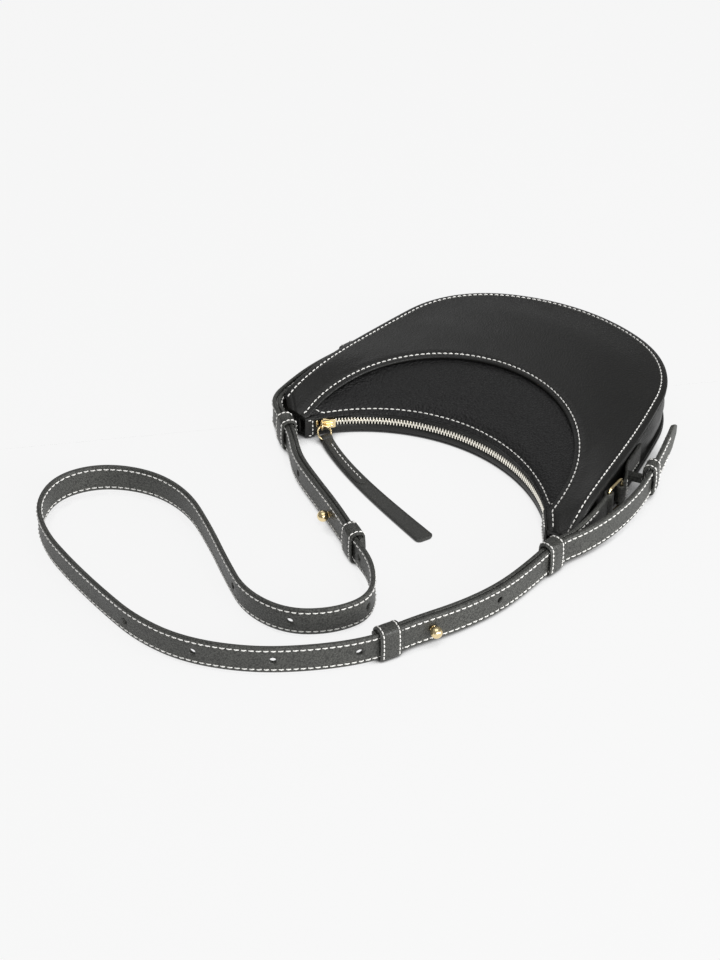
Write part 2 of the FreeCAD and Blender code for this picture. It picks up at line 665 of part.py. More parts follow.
def bridle_root(root, turn_at, sign):
    toward = math.copysign(1, turn_at - root)
    s0, s1 = sorted((root - toward * over, turn_at))
    layer = strap.ribbon(s0, s1, -half_thick - LAYER, half_thick - LAYER, z_low, z_high)
    spots = [inner_spot(turn_at - toward * 5), inner_spot(turn_at + toward * 5)]
    spots += [(sign * (RING_X + 1.7), 0.74 * RING_Y), (sign * RING_X, RING_Y)]
    way = Route(spots)
    print("bridle bend", round(way.smallest_bend(), 1))
    layer = layer.fuse(way.ribbon(0, way.length, -half_thick, half_thick, z_low, z_high))
    layer = layer.fuse(punch(V(sign * RING_X, RING_Y, z_low), X, Y, Z, bar_eye + eye_wall, STRAP_WIDTH, 10))
    room = punch(V(sign * RING_X, RING_Y, -REACH / 2), X, Y, Z, bar_room, REACH, 4)
    return lifted(layer.cut(room).common(on_bag).removeSplitter())


save("right_bridle_root", bridle_root(right_root, strap.nearest(118.0, 2.0), 1))
save("left_bridle_root", bridle_root(left_root, strap.nearest(-118.5, 18.0), -1))

# Side rings, with the chapes that hold them to the gusset
ring_low = STRAP_FLOOR + lift - SLIDE
ring_high = ring_low + STRAP_WIDTH + 2 * SLIDE
ring_foot = ring_low - RING_WIRE
ring_head = ring_high + RING_WIRE
side_ring = box(RING_X - wire, RING_X + wire, RING_Y - wire, far_bar + wire, ring_foot, ring_head)
side_ring = side_ring.cut(box(0, REACH, RING_Y + wire, far_bar - wire, ring_low, ring_high))
outer_edges = [e for e in side_ring.Edges if e.Length > RING_WIRE + NEAR]
side_ring = side_ring.makeChamfer(0.28 * RING_WIRE, outer_edges)
save("right_side_ring", side_ring)
save("left_side_ring", mirrored(side_ring))

CHAPE_THICK = 2.0
CHAPE_FOOT = 108.0
sewn = RIM - CHAPE_THICK / 2 - 2 * NEAR
chape_low = LEATHER + FLANGE + 2 * SLIDE
chape_high = chape_low + 0.8 * STRAP_WIDTH
chape_spots = [(RING_X, far_bar), (flank_x(far_bar, -2.0), far_bar + 10)]
for y in (0.5 * (far_bar + CHAPE_FOOT) - 2, 0.5 * (far_bar + CHAPE_FOOT) + 12, CHAPE_FOOT):
    chape_spots.append((flank_x(y, sewn), y))
chape_way = Route(chape_spots)
chape = chape_way.ribbon(0, chape_way.length, -CHAPE_THICK / 2, CHAPE_THICK / 2, chape_low, chape_high)
chape = chape.fuse(punch(V(RING_X, far_bar, chape_low), X, Y, Z, bar_eye + eye_wall, chape_high - chape_low, 10))
chape = chape.cut(punch(V(RING_X, far_bar, -REACH / 2), X, Y, Z, bar_room, REACH, 4))
chape = chape.cut(gusset).removeSplitter()
save("right_chape", chape)
save("left_chape", mirrored(chape))


# Keepers: loops of leather round the strap's layers
def local_box(s, back, ahead, low, high, z0, z1):
    """Box lying along the strap at distance s, between two sideways offsets."""
    point, along, side = strap.at(s)
    corners = [point - along * back + side * low, point + along * ahead + side * low]
    corners += [point + along * ahead + side * high, point - along * back + side * high]
    corners = [c + Z * z0 for c in corners]
    return polygon_face(corners).extrude(V(0, 0, z1 - z0))


def keeper(s, length, depth):
    """Loop whose hollow reaches from the strap's outer face to depth on its inner side."""
    low = -depth - SLIDE
    high = half_thick + 2 * SLIDE
    outer = local_box(s, length / 2, length / 2, low - KEEPER_WALL, high + KEEPER_WALL, 0, z_high + STRAP_FLOOR)
    hollow = local_box(s, length, length, low, high, z_low - SLIDE, z_high + SLIDE)
    return outer.cut(hollow)


two_layers = half_thick + LAYER + SLIDE
save("right_end_keeper", keeper(right_end_at, 14.0, two_layers))
save("left_end_keeper", keeper(left_end_at, 14.0, two_layers))


def largest(shape):
    return max(shape.Solids, key=lambda solid: solid.Volume).removeSplitter()


def horn_keeper(s, sign):
    """Keeper with a tongue that is sewn to the slanting end of the horn."""
    loop = keeper(s, 13.0, two_layers)
    point, along, side = strap.at(s)
    start = point - side * (two_layers + KEEPER_WALL / 2)
    corner = polar(SIDE, SIDE_RADIUS, SIDE_ANGLE)
    sewn_at = corner + V(-HORN_CUT - RIM, RIM, 0)
    way = Route([(start.x, start.y), (sign * sewn_at.x, sewn_at.y)])
    tongue = way.ribbon(0, way.length, -0.7, 0.7, 0.45 * STRAP_MID, 0.9 * STRAP_MID)
    return largest(lifted(loop.fuse(tongue)).cut(gusset))


save("right_horn_keeper", horn_keeper(right_horn_at, 1))
save("left_horn_keeper", horn_keeper(left_horn_at, -1))


def tail_keeper(s, flank):
    """Keeper for the strap's free end, sewn to the flank beside the chape."""
    point, along, side = strap.at(s)
    depth = abs(point.x) - flank_x(point.y, 0) - KEEPER_WALL - 5 * SLIDE
    sewn_part = local_box(s, 4, 4, -depth - 8, -depth - KEEPER_WALL / 2, 0.5 * STRAP_MID, 1.2 * STRAP_MID)
    return largest(lifted(keeper(s, 12.0, depth).fuse(sewn_part)).cut(flank).cut(gusset))


save("right_tail_keeper", tail_keeper(right_tail_at, chape))
save("left_tail_keeper", tail_keeper(left_tail_at, mirrored(chape)))


# Ball studs through the bridle ends, with the strap's buttonhole over each neck
BALL_BANDS = 6
BALL_SIDES = 14


def ring_of_points(seat, along, side, height, radius):
    turns = [2 * math.pi * i / BALL_SIDES for i in range(BALL_SIDES)]
    return [seat + side * height + along * (radius * math.cos(a)) + Z * (radius * math.sin(a)) for a in turns]


def stud(s):
    point, along, side = strap.at(s)
    foot = half_thick + LAYER
    seat = point + Z * STRAP_MID - side * foot
    ball = foot + half_thick + 0.5 + STUD_BALL
    low = -math.acos(stud_neck / STUD_BALL)
    levels = [(0, stud_neck)]
    for i in range(BALL_BANDS):
        turn = low + (math.pi / 2 - low) * i / BALL_BANDS
        levels.append((ball + STUD_BALL * math.sin(turn), STUD_BALL * math.cos(turn)))
    levels.append((ball + STUD_BALL, 0.15 * STUD_BALL))
    return flat_sided([ring_of_points(seat, along, side, height, radius) for height, radius in levels])


def stud_screw(s):
    point, along, side = strap.at(s)
    seat = point + Z * STRAP_MID - side * (half_thick + LAYER + NEAR)
    head = punch(seat, along, Z, side * -1, 3.0, 1.0, BALL_SIDES)
    screw_face = -half_thick - LAYER
    slot = local_box(s, 4, 4, screw_face - 1.5, screw_face - 0.5, STRAP_MID - 0.4, STRAP_MID + 0.4)
    return head.cut(slot)


save("right_stud", stud(right_stud_at))
save("left_stud", stud(left_stud_at))
save("right_stud_screw", stud_screw(right_stud_at))
save("left_stud_screw", stud_screw(left_stud_at))
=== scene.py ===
import random
from math import asin, atan2, cos, degrees, exp, hypot, log, pi, radians, sin, sqrt

import bpy
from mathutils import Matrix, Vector


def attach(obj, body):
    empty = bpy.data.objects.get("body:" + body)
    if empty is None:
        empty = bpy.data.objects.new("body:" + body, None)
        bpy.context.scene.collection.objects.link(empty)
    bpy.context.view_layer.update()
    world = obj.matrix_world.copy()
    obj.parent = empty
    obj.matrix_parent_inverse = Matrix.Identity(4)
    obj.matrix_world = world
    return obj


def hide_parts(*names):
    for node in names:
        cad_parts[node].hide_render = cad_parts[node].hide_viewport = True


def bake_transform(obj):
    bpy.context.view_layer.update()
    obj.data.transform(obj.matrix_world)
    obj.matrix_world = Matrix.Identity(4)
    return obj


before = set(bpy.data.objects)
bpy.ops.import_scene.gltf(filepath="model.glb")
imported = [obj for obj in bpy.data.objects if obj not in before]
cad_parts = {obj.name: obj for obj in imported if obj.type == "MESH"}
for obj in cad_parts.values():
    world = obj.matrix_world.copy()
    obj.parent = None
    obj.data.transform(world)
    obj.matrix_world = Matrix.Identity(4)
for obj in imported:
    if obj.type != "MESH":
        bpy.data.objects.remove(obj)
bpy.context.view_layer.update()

random.seed(7)

SCENE = bpy.context.scene
UP = Vector((0, 0, 1))

# All sizes below are millimetres measured from the line between the horns, as in the part's source
REST_Y = 130.0
BAG_DEPTH = 210.0
BAG_HALF = 113.0
HORN_END = 11.0
HORN_CUT = 9.0
MOUTH_RADIUS = 112.0
MOUTH_Y = -54.0
OVERLAY_RADIUS = 89.5
OVERLAY_Y = 20.0
ZIP_MIDDLE = 9.0
ZIP_PITCH = 2.03
STRAP_WIDTH = 18.0
STRAP_THICK = 2.6
LAYER = 2.9
STRAP_MID = 10.6
SWING_Y = -33.0
# How much the strap climbs per millimetre beyond the swing line
LIFT = 1.8 / 79
RING_X = 113.6
RING_Y = 46.0
RING_FAR = 62.0
# Angle of the slider at rest on the mouth's arc, in degrees
REST_ANGLE = 136.62

APEX_R = 1.106 * BAG_HALF
SHOULDER_R = 0.726 * BAG_HALF
APEX_A = radians(24)
SHOULDER_A = radians(78)
SIDE_A = radians(88)
APEX = (0.0, BAG_DEPTH - APEX_R)
SHOULDER = (
    (APEX_R - SHOULDER_R) * sin(APEX_A),
    APEX[1] + (APEX_R - SHOULDER_R) * cos(APEX_A),
)
SIDE_TOP = (
    SHOULDER[0] + SHOULDER_R * sin(SHOULDER_A),
    SHOULDER[1] + SHOULDER_R * cos(SHOULDER_A),
)
SIDE_R = (SIDE_TOP[1] - HORN_END) / (cos(SHOULDER_A) - cos(SIDE_A))
SIDE = (SIDE_TOP[0] - SIDE_R * sin(SHOULDER_A), SIDE_TOP[1] - SIDE_R * cos(SHOULDER_A))

# A stitch is a bead of loops, each given by its share of the length, its share of the size and its lift
STITCH_SIDES = 6
STITCH_LOOPS = ((-0.42, 0.72, -0.16), (0.0, 1.0, 0.1), (0.42, 0.72, -0.16))
STITCH_SINK = 0.4


def place(p):
    """Millimetres of the part's source to metres in the shared frame."""
    return (p[0] * 0.001, (p[1] - REST_Y) * 0.001, p[2] * 0.001)


# Meshes
class Shape:
    """Vertices and faces of one piece, in millimetres."""

    def __init__(self, rows=None):
        self.verts = []
        self.faces = []
        if rows:
            self.loft(rows)

    def add(self, verts, faces):
        base = len(self.verts)
        self.verts.extend([tuple(v) for v in verts])
        self.faces.extend([tuple(base + i for i in f) for f in faces])

    def loft(self, rows, ring=False):
        """Skin through loops of points with a face on both ends; ring joins the last loop to the first."""
        n = len(rows[0])
        faces = []
        last = len(rows) if ring else len(rows) - 1
        for i in range(last):
            a = i * n
            b = ((i + 1) % len(rows)) * n
            for j in range(n):
                k = (j + 1) % n
                faces.append((a + j, a + k, b + k, b + j))
        if not ring:
            faces.append(tuple(range(n))[::-1])
            faces.append(tuple(last * n + j for j in range(n)))
        self.add([p for row in rows for p in row], faces)

    def stitch(self, centre, along, normal, length=2.9, width=0.8, height=0.52):
        """One thread stitch: a small bead whose ends dip into the leather."""
        along = Vector(along).normalized()
        normal = Vector(normal).normalized()
        side = normal.cross(along).normalized()
        centre = Vector(centre)
        n = STITCH_SIDES
        verts = []
        for share, size, up in STITCH_LOOPS:
            middle = centre + along * (share * length) + normal * up
            for j in range(n):
                a = 2 * pi * j / n
                across = side * (0.5 * width * size * cos(a))
                verts.append(middle + across + normal * (height * size * sin(a)))
        tip = len(verts)
        last = tip - n
        verts.append(centre - along * (0.5 * length) - normal * STITCH_SINK)
        verts.append(centre + along * (0.5 * length) - normal * STITCH_SINK)
        faces = []
        for i in range(0, last, n):
            for j in range(n):
                k = (j + 1) % n
                faces.append((i + j, i + k, i + n + k, i + n + j))
        for j in range(n):
            k = (j + 1) % n
            faces.append((k, j, tip))
            faces.append((last + j, last + k, tip + 1))
        self.add(verts, faces)

    def piece(self, name, material, body=None, slot=None, nodes=(), angle=40, bevel=0.0):
        """Makes the object; turns up to angle are shaded smooth, and bevel rounds the sharper edges."""
        data = bpy.data.meshes.new(name)
        data.from_pydata([place(v) for v in self.verts], [], self.faces)
        data.validate()
        obj = bpy.data.objects.new(name, data)
        SCENE.collection.objects.link(obj)
        bpy.context.view_layer.objects.active = obj
        bpy.ops.object.select_all(action="DESELECT")
        obj.select_set(True)
        bpy.ops.object.mode_set(mode="EDIT")
        bpy.ops.mesh.select_all(action="SELECT")
        bpy.ops.mesh.normals_make_consistent(inside=False)
        bpy.ops.object.mode_set(mode="OBJECT")
        if bevel:
            m = obj.modifiers.new("edge", "BEVEL")
            m.width = bevel * 0.001
            m.segments = 3
            m.limit_method = "ANGLE"
            m.angle_limit = radians(35)
            bpy.ops.object.modifier_apply(modifier=m.name)
        bpy.ops.object.shade_smooth_by_angle(angle=radians(angle))
        data.materials.append(material)
        if nodes:
            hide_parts(*nodes)
        if body:
            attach(obj, body)
        return obj


def lerp(a, b, t):
    return a + (b - a) * t


def bell(distance, reach):
    """Smooth hump of height 1 that fades out over reach."""
    return exp(-((distance / reach) ** 2))


def circle(centre, one, two, radius, sides):
    """Points round centre, from the direction one towards the direction two."""
    points = []
    for j in range(sides):
        a = 2 * pi * j / sides
        points.append(centre + (one * cos(a) + two * sin(a)) * radius)
    return points


def spread(points, count):
    """Points at even distances along a line of points."""
    points = [Vector(p) for p in points]
    ends = [0.0]
    for a, b in zip(points, points[1:]):
        ends.append(ends[-1] + (b - a).length)
    made = []
    i = 0
    for k in range(count):
        s = ends[-1] * k / (count - 1)
        while i < len(points) - 2 and ends[i + 1] < s:
            i += 1
        t = (s - ends[i]) / max(ends[i + 1] - ends[i], 1e-9)
        made.append(points[i].lerp(points[i + 1], t))
    return made


def length_of(points):
    return sum((Vector(b) - Vector(a)).length for a, b in zip(points, points[1:]))


# Outline of the bag; the right horn is longer than the left one, and cut less
HORN_X = SIDE[0] + SIDE_R * sin(SIDE_A)
STRAIGHT_ON = radians(0.32)
RIGHT_LONGER = 9.0
RIGHT_CUT = 4.0
HORN_ENDS = {-1: HORN_END, 1: HORN_END - RIGHT_LONGER}
HORN_CUTS = {-1: HORN_CUT, 1: RIGHT_CUT}
WRAP_CLEAR = 0.3
ARC_STEPS = 40


def half_outline(inset, ends, sign):
    """Outer edge from one horn to the top of the arc, moved in by inset."""
    end = HORN_ENDS[sign]
    slant = HORN_X - HORN_CUTS[sign] - end - inset * sqrt(2)
    corner = radians(45) + asin((slant - SIDE[0] + SIDE[1]) / ((SIDE_R - inset) * sqrt(2)))
    points = []
    if ends == "slant":
        points.append((slant + end, end, 0))
    if ends == "wrap":
        mouth = sqrt(MOUTH_RADIUS ** 2 - (end - MOUTH_Y) ** 2)
        points.append((mouth + WRAP_CLEAR, end + inset, 0))
        points.append((slant + end + inset, end + inset, 0))
    if ends == "straight":
        corner += STRAIGHT_ON
    for centre, radius, a0, a1 in (
        (SIDE, SIDE_R, corner, SHOULDER_A),
        (SHOULDER, SHOULDER_R, SHOULDER_A, APEX_A),
        (APEX, APEX_R, APEX_A, 0.0),
    ):
        r = radius - inset
        for k in range(ARC_STEPS):
            a = lerp(a0, a1, k / ARC_STEPS)
            points.append((centre[0] + r * sin(a), centre[1] + r * cos(a), 0))
    return [(sign * x, y, z) for x, y, z in points]


def outline(inset, count, ends="slant"):
    """Outer edge from the left horn to the right one, moved in by inset.

    The horns end in their slant, in the slant and a wall that wraps round to the zip, or go straight on.
    """
    points = half_outline(inset, ends, -1)
    points.append((0.0, BAG_DEPTH - inset, 0))
    points += reversed(half_outline(inset, ends, 1))
    return spread(points, count)


def edge_distance(x, y):
    """How far a point lies inside the outer edge."""
    sign = 1 if x > 0 else -1
    x = abs(x)
    if atan2(x, y - APEX[1]) < APEX_A:
        return APEX_R - hypot(x, y - APEX[1])
    if atan2(x - SHOULDER[0], y - SHOULDER[1]) < SHOULDER_A:
        return SHOULDER_R - hypot(x - SHOULDER[0], y - SHOULDER[1])
    slant = (HORN_X - HORN_CUTS[sign] - x - HORN_ENDS[sign] + y) / sqrt(2)
    return min(SIDE_R - hypot(x - SIDE[0], y - SIDE[1]), slant)


def mouth_distance(x, y):
    """How far a point lies outside the mouth's arc."""
    return hypot(x, y - MOUTH_Y) - MOUTH_RADIUS


# Front face: a dome with a belly, the fall to the zip mouth, the slopes to the horns, and the rim's drop
DOME_FOOT = 31.0
DOME_RISE = 6.6
DOME_REACH = 36.0
BELLY_RISE = 2.0
BELLY_Y = 160.0
BELLY_REACH = 42.0
MOUTH_TOP = 19.5
MOUTH_DROP = 3.5
MOUTH_HALF = 88.0
MOUTH_RISE = 19.5
MOUTH_REACH = 78.0
HORN_TOP = 18.5
HORN_SLOPE = 0.57
FACE_BLEND = 1.6
RIM_DROP = 1.3
RIM_REACH = 5.0
NORMAL_STEP = 0.6


def front_z(x, y):
    """Height of the overlay's face: a low dome that falls to the rim, the zip mouth and the horns."""
    d = max(edge_distance(x, y), 0.0)
    m = min(max(mouth_distance(x, y), 0.0) / MOUTH_REACH, 1.0)
    dome = DOME_FOOT + DOME_RISE * (1 - bell(d, DOME_REACH)) + BELLY_RISE * bell(y - BELLY_Y, BELLY_REACH)
    mouth = MOUTH_TOP - MOUTH_DROP * min(abs(x) / MOUTH_HALF, 1.0) ** 2 + MOUTH_RISE * (1 - (1 - m) ** 2)
    horn = HORN_TOP + HORN_SLOPE * (y - HORN_END)
    k = FACE_BLEND
    low = -k * log(exp(-dome / k) + exp(-mouth / k) + exp(-horn / k))
    return low - RIM_DROP * max(1 - d / RIM_REACH, 0.0) ** 2


def front_normal(p):
    """Direction that the overlay's face looks at a point."""
    e = NORMAL_STEP
    dx = (front_z(p.x + e, p.y) - front_z(p.x - e, p.y)) / (2 * e)
    dy = (front_z(p.x, p.y + e) - front_z(p.x, p.y - e)) / (2 * e)
    return Vector((-dx, -dy, 1)).normalized()


def lifted(points, height):
    """A line of points raised onto a surface; height gives the surface at x, y."""
    return [Vector((p.x, p.y, height(p.x, p.y))) for p in points]


def mouth_point(angle, out=0.0, z=0.0):
    """Point on the mouth's arc, moved outwards by out."""
    a = radians(angle)
    r = MOUTH_RADIUS + out
    return Vector((r * cos(a), MOUTH_Y + r * sin(a), z))


def mouth_line(a0, a1, out, count):
    """Points at even distances along the mouth's arc, moved outwards by out."""
    steps = 80
    return spread([mouth_point(lerp(a0, a1, k / steps), out) for k in range(steps + 1)], count)


def overlay_edge(out, count):
    """Inner edge of the overlay, moved towards the rim by out."""
    foot_steps = 8
    arc_steps = 60
    r = OVERLAY_RADIUS + out
    foot = sqrt(max((MOUTH_RADIUS + out) ** 2 - r * r, 0)) + MOUTH_Y
    halves = []
    for sign in (-1, 1):
        half = []
        for k in range(foot_steps):
            y = lerp(HORN_ENDS[sign], foot, k / foot_steps)
            half.append((sign * sqrt((MOUTH_RADIUS + out) ** 2 - (y - MOUTH_Y) ** 2), y, 0))
        half.append((sign * r, foot, 0))
        for k in range(arc_steps):
            a = radians(90 * k / arc_steps)
            half.append((sign * r * cos(a), OVERLAY_Y + r * sin(a), 0))
        halves.append(half)
    return spread(halves[0] + [(0.0, OVERLAY_Y + r, 0)] + halves[1][::-1], count)


MOUTH_END = degrees(asin((HORN_END - MOUTH_Y) / MOUTH_RADIUS))
RIGHT_MOUTH_END = degrees(asin((HORN_ENDS[1] - MOUTH_Y) / MOUTH_RADIUS))
LEFT_MOUTH_END = 180 - MOUTH_END


# Materials: procedural, in object coordinates
def material(name, colour, rough, metal=0.0, specular=0.5):
    """New material, with its node tree, its shader and the object coordinates."""
    m = bpy.data.materials.new(name)
    m.use_nodes = True
    b = m.node_tree.nodes["Principled BSDF"]
    b.inputs["Base Color"].default_value = (*colour, 1)
    b.inputs["Roughness"].default_value = rough
    b.inputs["Metallic"].default_value = metal
    b.inputs["Specular IOR Level"].default_value = specular
    return m, m.node_tree, b, node(m.node_tree, "TexCoord", {}).outputs["Object"]


def node(tree, kind, inputs):
    """New shader node; each input gets a value or the output of another node."""
    n = tree.nodes.new("ShaderNode" + kind)
    for name, value in inputs.items():
        if isinstance(value, bpy.types.NodeSocket):
            tree.links.new(value, n.inputs[name])
        else:
            n.inputs[name].default_value = value
    return n


def maths(tree, operation, one, two):
    n = node(tree, "Math", {0: one, 1: two})
    n.operation = operation
    return n.outputs[0]


def noise(tree, vector, scale, detail):
    inputs = {"Vector": vector, "Scale": scale, "Detail": detail, "Roughness": 0.55}
    return node(tree, "TexNoise", inputs).outputs["Fac"]


def cells(tree, vector, scale):
    v = node(tree, "TexVoronoi", {"Vector": vector, "Scale": scale})
    v.feature = "SMOOTH_F1"
    v.inputs["Smoothness"].default_value = 0.6
    return v.outputs["Distance"]


def ramp(tree, value, low, high, out_low, out_high):
    inputs = {"Value": value, "From Min": low, "From Max": high, "To Min": out_low, "To Max": out_high}
    return node(tree, "MapRange", inputs).outputs["Result"]


def mix_colour(tree, value, one, two):
    c = tree.nodes.new("ShaderNodeMix")
    c.data_type = "RGBA"
    c.inputs["A"].default_value = (*one, 1)
    c.inputs["B"].default_value = (*two, 1)
    tree.links.new(value, c.inputs["Factor"])
    return c.outputs["Result"]


def bump(tree, shader, height, strength, distance, after=None):
    inputs = {"Height": height, "Strength": strength, "Distance": distance}
    if after is not None:
        inputs["Normal"] = after
    normal = node(tree, "Bump", inputs).outputs["Normal"]
    tree.links.new(normal, shader.inputs["Normal"])
    return normal


CLOUD_SCALE = 28
FINE_RELIEF = 0.00015


def leather(name, grain_mm, depth, dark, light, rough, specular, crease=0.2, relief=0.0003):
    """Grained leather: pebbles with darker creases, a fine tooth and slow changes of tone."""
    m, tree, b, v = material(name, dark, rough, specular=specular)
    pebble = cells(tree, v, 1000 / grain_mm)
    fine = noise(tree, v, 2600 / grain_mm, 2.0)
    cloud = noise(tree, v, CLOUD_SCALE, 4.0)
    shade = ramp(tree, cloud, 0.3, 0.7, 0.55, 1.0)
    tone = maths(tree, "MULTIPLY", shade, ramp(tree, pebble, 0.15, 0.75, 1.0, crease))
    tree.links.new(mix_colour(tree, tone, dark, light), b.inputs["Base Color"])
    tree.links.new(ramp(tree, cloud, 0.3, 0.7, rough - 0.05, rough + 0.06), b.inputs["Roughness"])
    first = bump(tree, b, pebble, depth, relief)
    bump(tree, b, fine, depth * 0.4, FINE_RELIEF, first)
    return m


SMOOTH = leather("smooth_leather", 1.1, 0.6, (0.006, 0.006, 0.0056), (0.0107, 0.0108, 0.0097), 0.42, 0.42)
PEBBLED = leather(
    "pebbled_leather", 1.4, 1.0, (0.0042, 0.0042, 0.0044), (0.0122, 0.0122, 0.0123), 0.48, 0.38,
    relief=0.0006,
)
STRAP = leather("strap_leather", 1.0, 1.0, (0.018, 0.0183, 0.0163), (0.096, 0.0975, 0.088), 0.46, 0.5, 0.08)
TAB = leather("tab_leather", 0.8, 0.55, (0.022, 0.0222, 0.0205), (0.066, 0.0665, 0.062), 0.5, 0.45, 0.35)


def thread():
    m, tree, b, v = material("thread", (0.94, 0.93, 0.89), 0.75, specular=0.3)
    twist = noise(tree, v, 3800, 2.0)
    tree.links.new(mix_colour(tree, twist, (0.88, 0.87, 0.83), (0.98, 0.97, 0.94)), b.inputs["Base Color"])
    bump(tree, b, twist, 0.5, 0.0002)
    return m


def gold(name, dark, light):
    m, tree, b, v = material(name, light, 0.2, metal=1.0)
    wear = noise(tree, v, 420, 4.0)
    tree.links.new(ramp(tree, wear, 0.3, 0.7, 0.14, 0.27), b.inputs["Roughness"])
    tree.links.new(mix_colour(tree, wear, dark, light), b.inputs["Base Color"])
    bump(tree, b, noise(tree, v, 2200, 2.0), 0.04, 0.0001)
    return m


def woven(name, colour, light):
    m, tree, b, v = material(name, colour, 0.8, specular=0.25)
    wave = node(tree, "TexWave", {"Vector": v, "Scale": 900, "Distortion": 1.2}).outputs["Fac"]
    tree.links.new(mix_colour(tree, wave, colour, light), b.inputs["Base Color"])
    bump(tree, b, wave, 0.4, 0.0002)
    return m


THREAD = thread()
GOLD = gold("gold_metal", (0.82, 0.63, 0.32), (0.95, 0.80, 0.51))
PALE_GOLD = gold("pale_gold_metal", (0.92, 0.88, 0.77), (0.98, 0.95, 0.87))
TAPE = woven("zip_tape", (0.008, 0.008, 0.008), (0.018, 0.018, 0.018))
LINING = woven("lining_cloth", (0.018, 0.018, 0.017), (0.03, 0.03, 0.028))

# Front panels
SEAM_STEP = 0.7
SEAM_STEPS = 11
OUTER_SEAM = 4.2
INNER_SEAM = 3.4
ZIP_SEAM = 3.0
GROOVE_DEPTH = 0.4
GROOVE_REACH = 0.85
STITCH_LEAN = 0.05
STITCH_LENGTHS = (0.94, 1.05)


def shares_across(width, across, seams):
    """Where the points of a row lie, from 0 to 1; with seams they are closer near both edges."""
    near = SEAM_STEP * SEAM_STEPS
    if not seams or width < 2.6 * near:
        return [k / across for k in range(across + 1)]
    middle = across - 2 * SEAM_STEPS
    shares = [SEAM_STEP * k / width for k in range(SEAM_STEPS)]
    shares += [lerp(near, width - near, k / middle) / width for k in range(middle + 1)]
    shares += [1 - SEAM_STEP * k / width for k in range(SEAM_STEPS - 1, -1, -1)]
    return shares


def round_edge(top, way, r):
    """Half circle under a sheet's top edge, going down; way points out of the sheet."""
    points = []
    for k in range(1, 6):
        turn = radians(90 - 30 * k)
        points.append(top + way * (r * cos(turn)) + UP * (r * sin(turn) - r))
    return points


def panel_rows(inner, outer, height, thick, across, seams=False):
    """Loops with round edges across a sheet between two lines of points; height gives its top at x, y."""
    r = 0.5 * thick
    rows = []
    for a, b in zip(inner, outer):
        out = (b - a).normalized()
        first = a + out * r
        last = b - out * r
        shares = shares_across((last - first).length, across, seams)
        top = lifted([first.lerp(last, share) for share in shares], height)
        under = [top[k] - UP * thick for k in (across, across * 2 // 3, across // 3, 0)]
        rows.append(top + round_edge(top[-1], out, r) + under + round_edge(top[0], -out, r)[::-1])
    return rows


def stitch_spots(points, pitch, skip=0.0):
    """Middle and direction of each stitch at an even pitch along a line of points."""
    count = int((length_of(points) - 2 * skip) / pitch)
    spots = spread(points, 2 * count + 1)
    for i in range(count):
        yield spots[2 * i + 1], (spots[2 * i + 2] - spots[2 * i]).normalized()


def line_stitches(shape, points, normal_at, pitch=3.7, length=2.85, lift=0.2, skip=0.6):
    """Stitches along a line of points on a surface, each turned a little."""
    for p, along in stitch_spots(points, pitch, skip):
        n = normal_at(p)
        lean = n.cross(along) * random.uniform(-STITCH_LEAN, STITCH_LEAN)
        shape.stitch(p + n * lift, along + lean, n, length * random.uniform(*STITCH_LENGTHS))


def groove(distance):
    """How deep a row of stitches draws the leather in, at a distance from the row."""
    return GROOVE_DEPTH * bell(distance, GROOVE_REACH)


def inner_distance(x, y):
    """How far a point lies from the overlay's inner edge."""
    arc = hypot(x, max(y - OVERLAY_Y, 0.0)) - OVERLAY_RADIUS
    return min(arc, mouth_distance(x, y))


ROLL_RISE = 0.35
ROLL_AT = 7.0
ROLL_REACH = 3.0


def overlay_z(x, y):
    """Overlay's face, drawn in along its stitches and rounded beside them."""
    inner = inner_distance(x, y)
    roll = ROLL_RISE * bell(inner - ROLL_AT, ROLL_REACH)
    return front_z(x, y) + roll - groove(edge_distance(x, y) - OUTER_SEAM) - groove(inner - INNER_SEAM)


overlay = Shape(panel_rows(overlay_edge(0, 420), outline(0, 420), overlay_z, 2.4, 38, True))
overlay.piece("overlay", SMOOTH, "bag", "smooth_leather", ["front_overlay"], angle=60)

YOKE_BELOW = 2.7
SWELL_RISE = 0.9
SWELL_AT = 8.5
SWELL_REACH = 4.5
LIP_DROP = 0.6


def yoke_z(x, y):
    """Yoke's face: it swells a little above the zip, and its stitches draw it in."""
    out = mouth_distance(x, y)
    swell = SWELL_RISE * bell(out - SWELL_AT, SWELL_REACH)
    lip = LIP_DROP * max(1 - out / ZIP_SEAM, 0.0) ** 2
    return front_z(x, y) - YOKE_BELOW + swell - lip - groove(out - ZIP_SEAM)


yoke_inner = mouth_line(LEFT_MOUTH_END - 0.4, RIGHT_MOUTH_END + 0.4, -0.2, 260)
yoke_outer = spread(overlay_edge(7.0, 320)[8:-8], 260)
yoke = Shape(panel_rows(yoke_inner, yoke_outer, yoke_z, 1.8, 34, True))
yoke.piece("yoke", PEBBLED, "bag", "pebbled_leather", ["front_yoke"], angle=60)

# The seam beside the zip turns away from it near both ends; angles are counted from the middle
ZIP_SEAM_HALF = 51.2
FLARE_FROM = 47.2
FLARE_OVER = 4.0
FLARE = 5.5
zip_run = []
for k in range(201):
    angle = lerp(ZIP_SEAM_HALF, -ZIP_SEAM_HALF, k / 200)
    flare = FLARE * (max(abs(angle) - FLARE_FROM, 0) / FLARE_OVER) ** 2
    zip_run.append(mouth_point(90 + angle, ZIP_SEAM + flare))
front_thread = Shape()
for run in (
    lifted(outline(OUTER_SEAM, 500, "straight"), overlay_z),
    lifted(overlay_edge(INNER_SEAM, 400), overlay_z)[3:-3],
    lifted(zip_run, yoke_z),
):
    line_stitches(front_thread, run, front_normal)
front_thread.piece("front_stitching", THREAD, "bag")

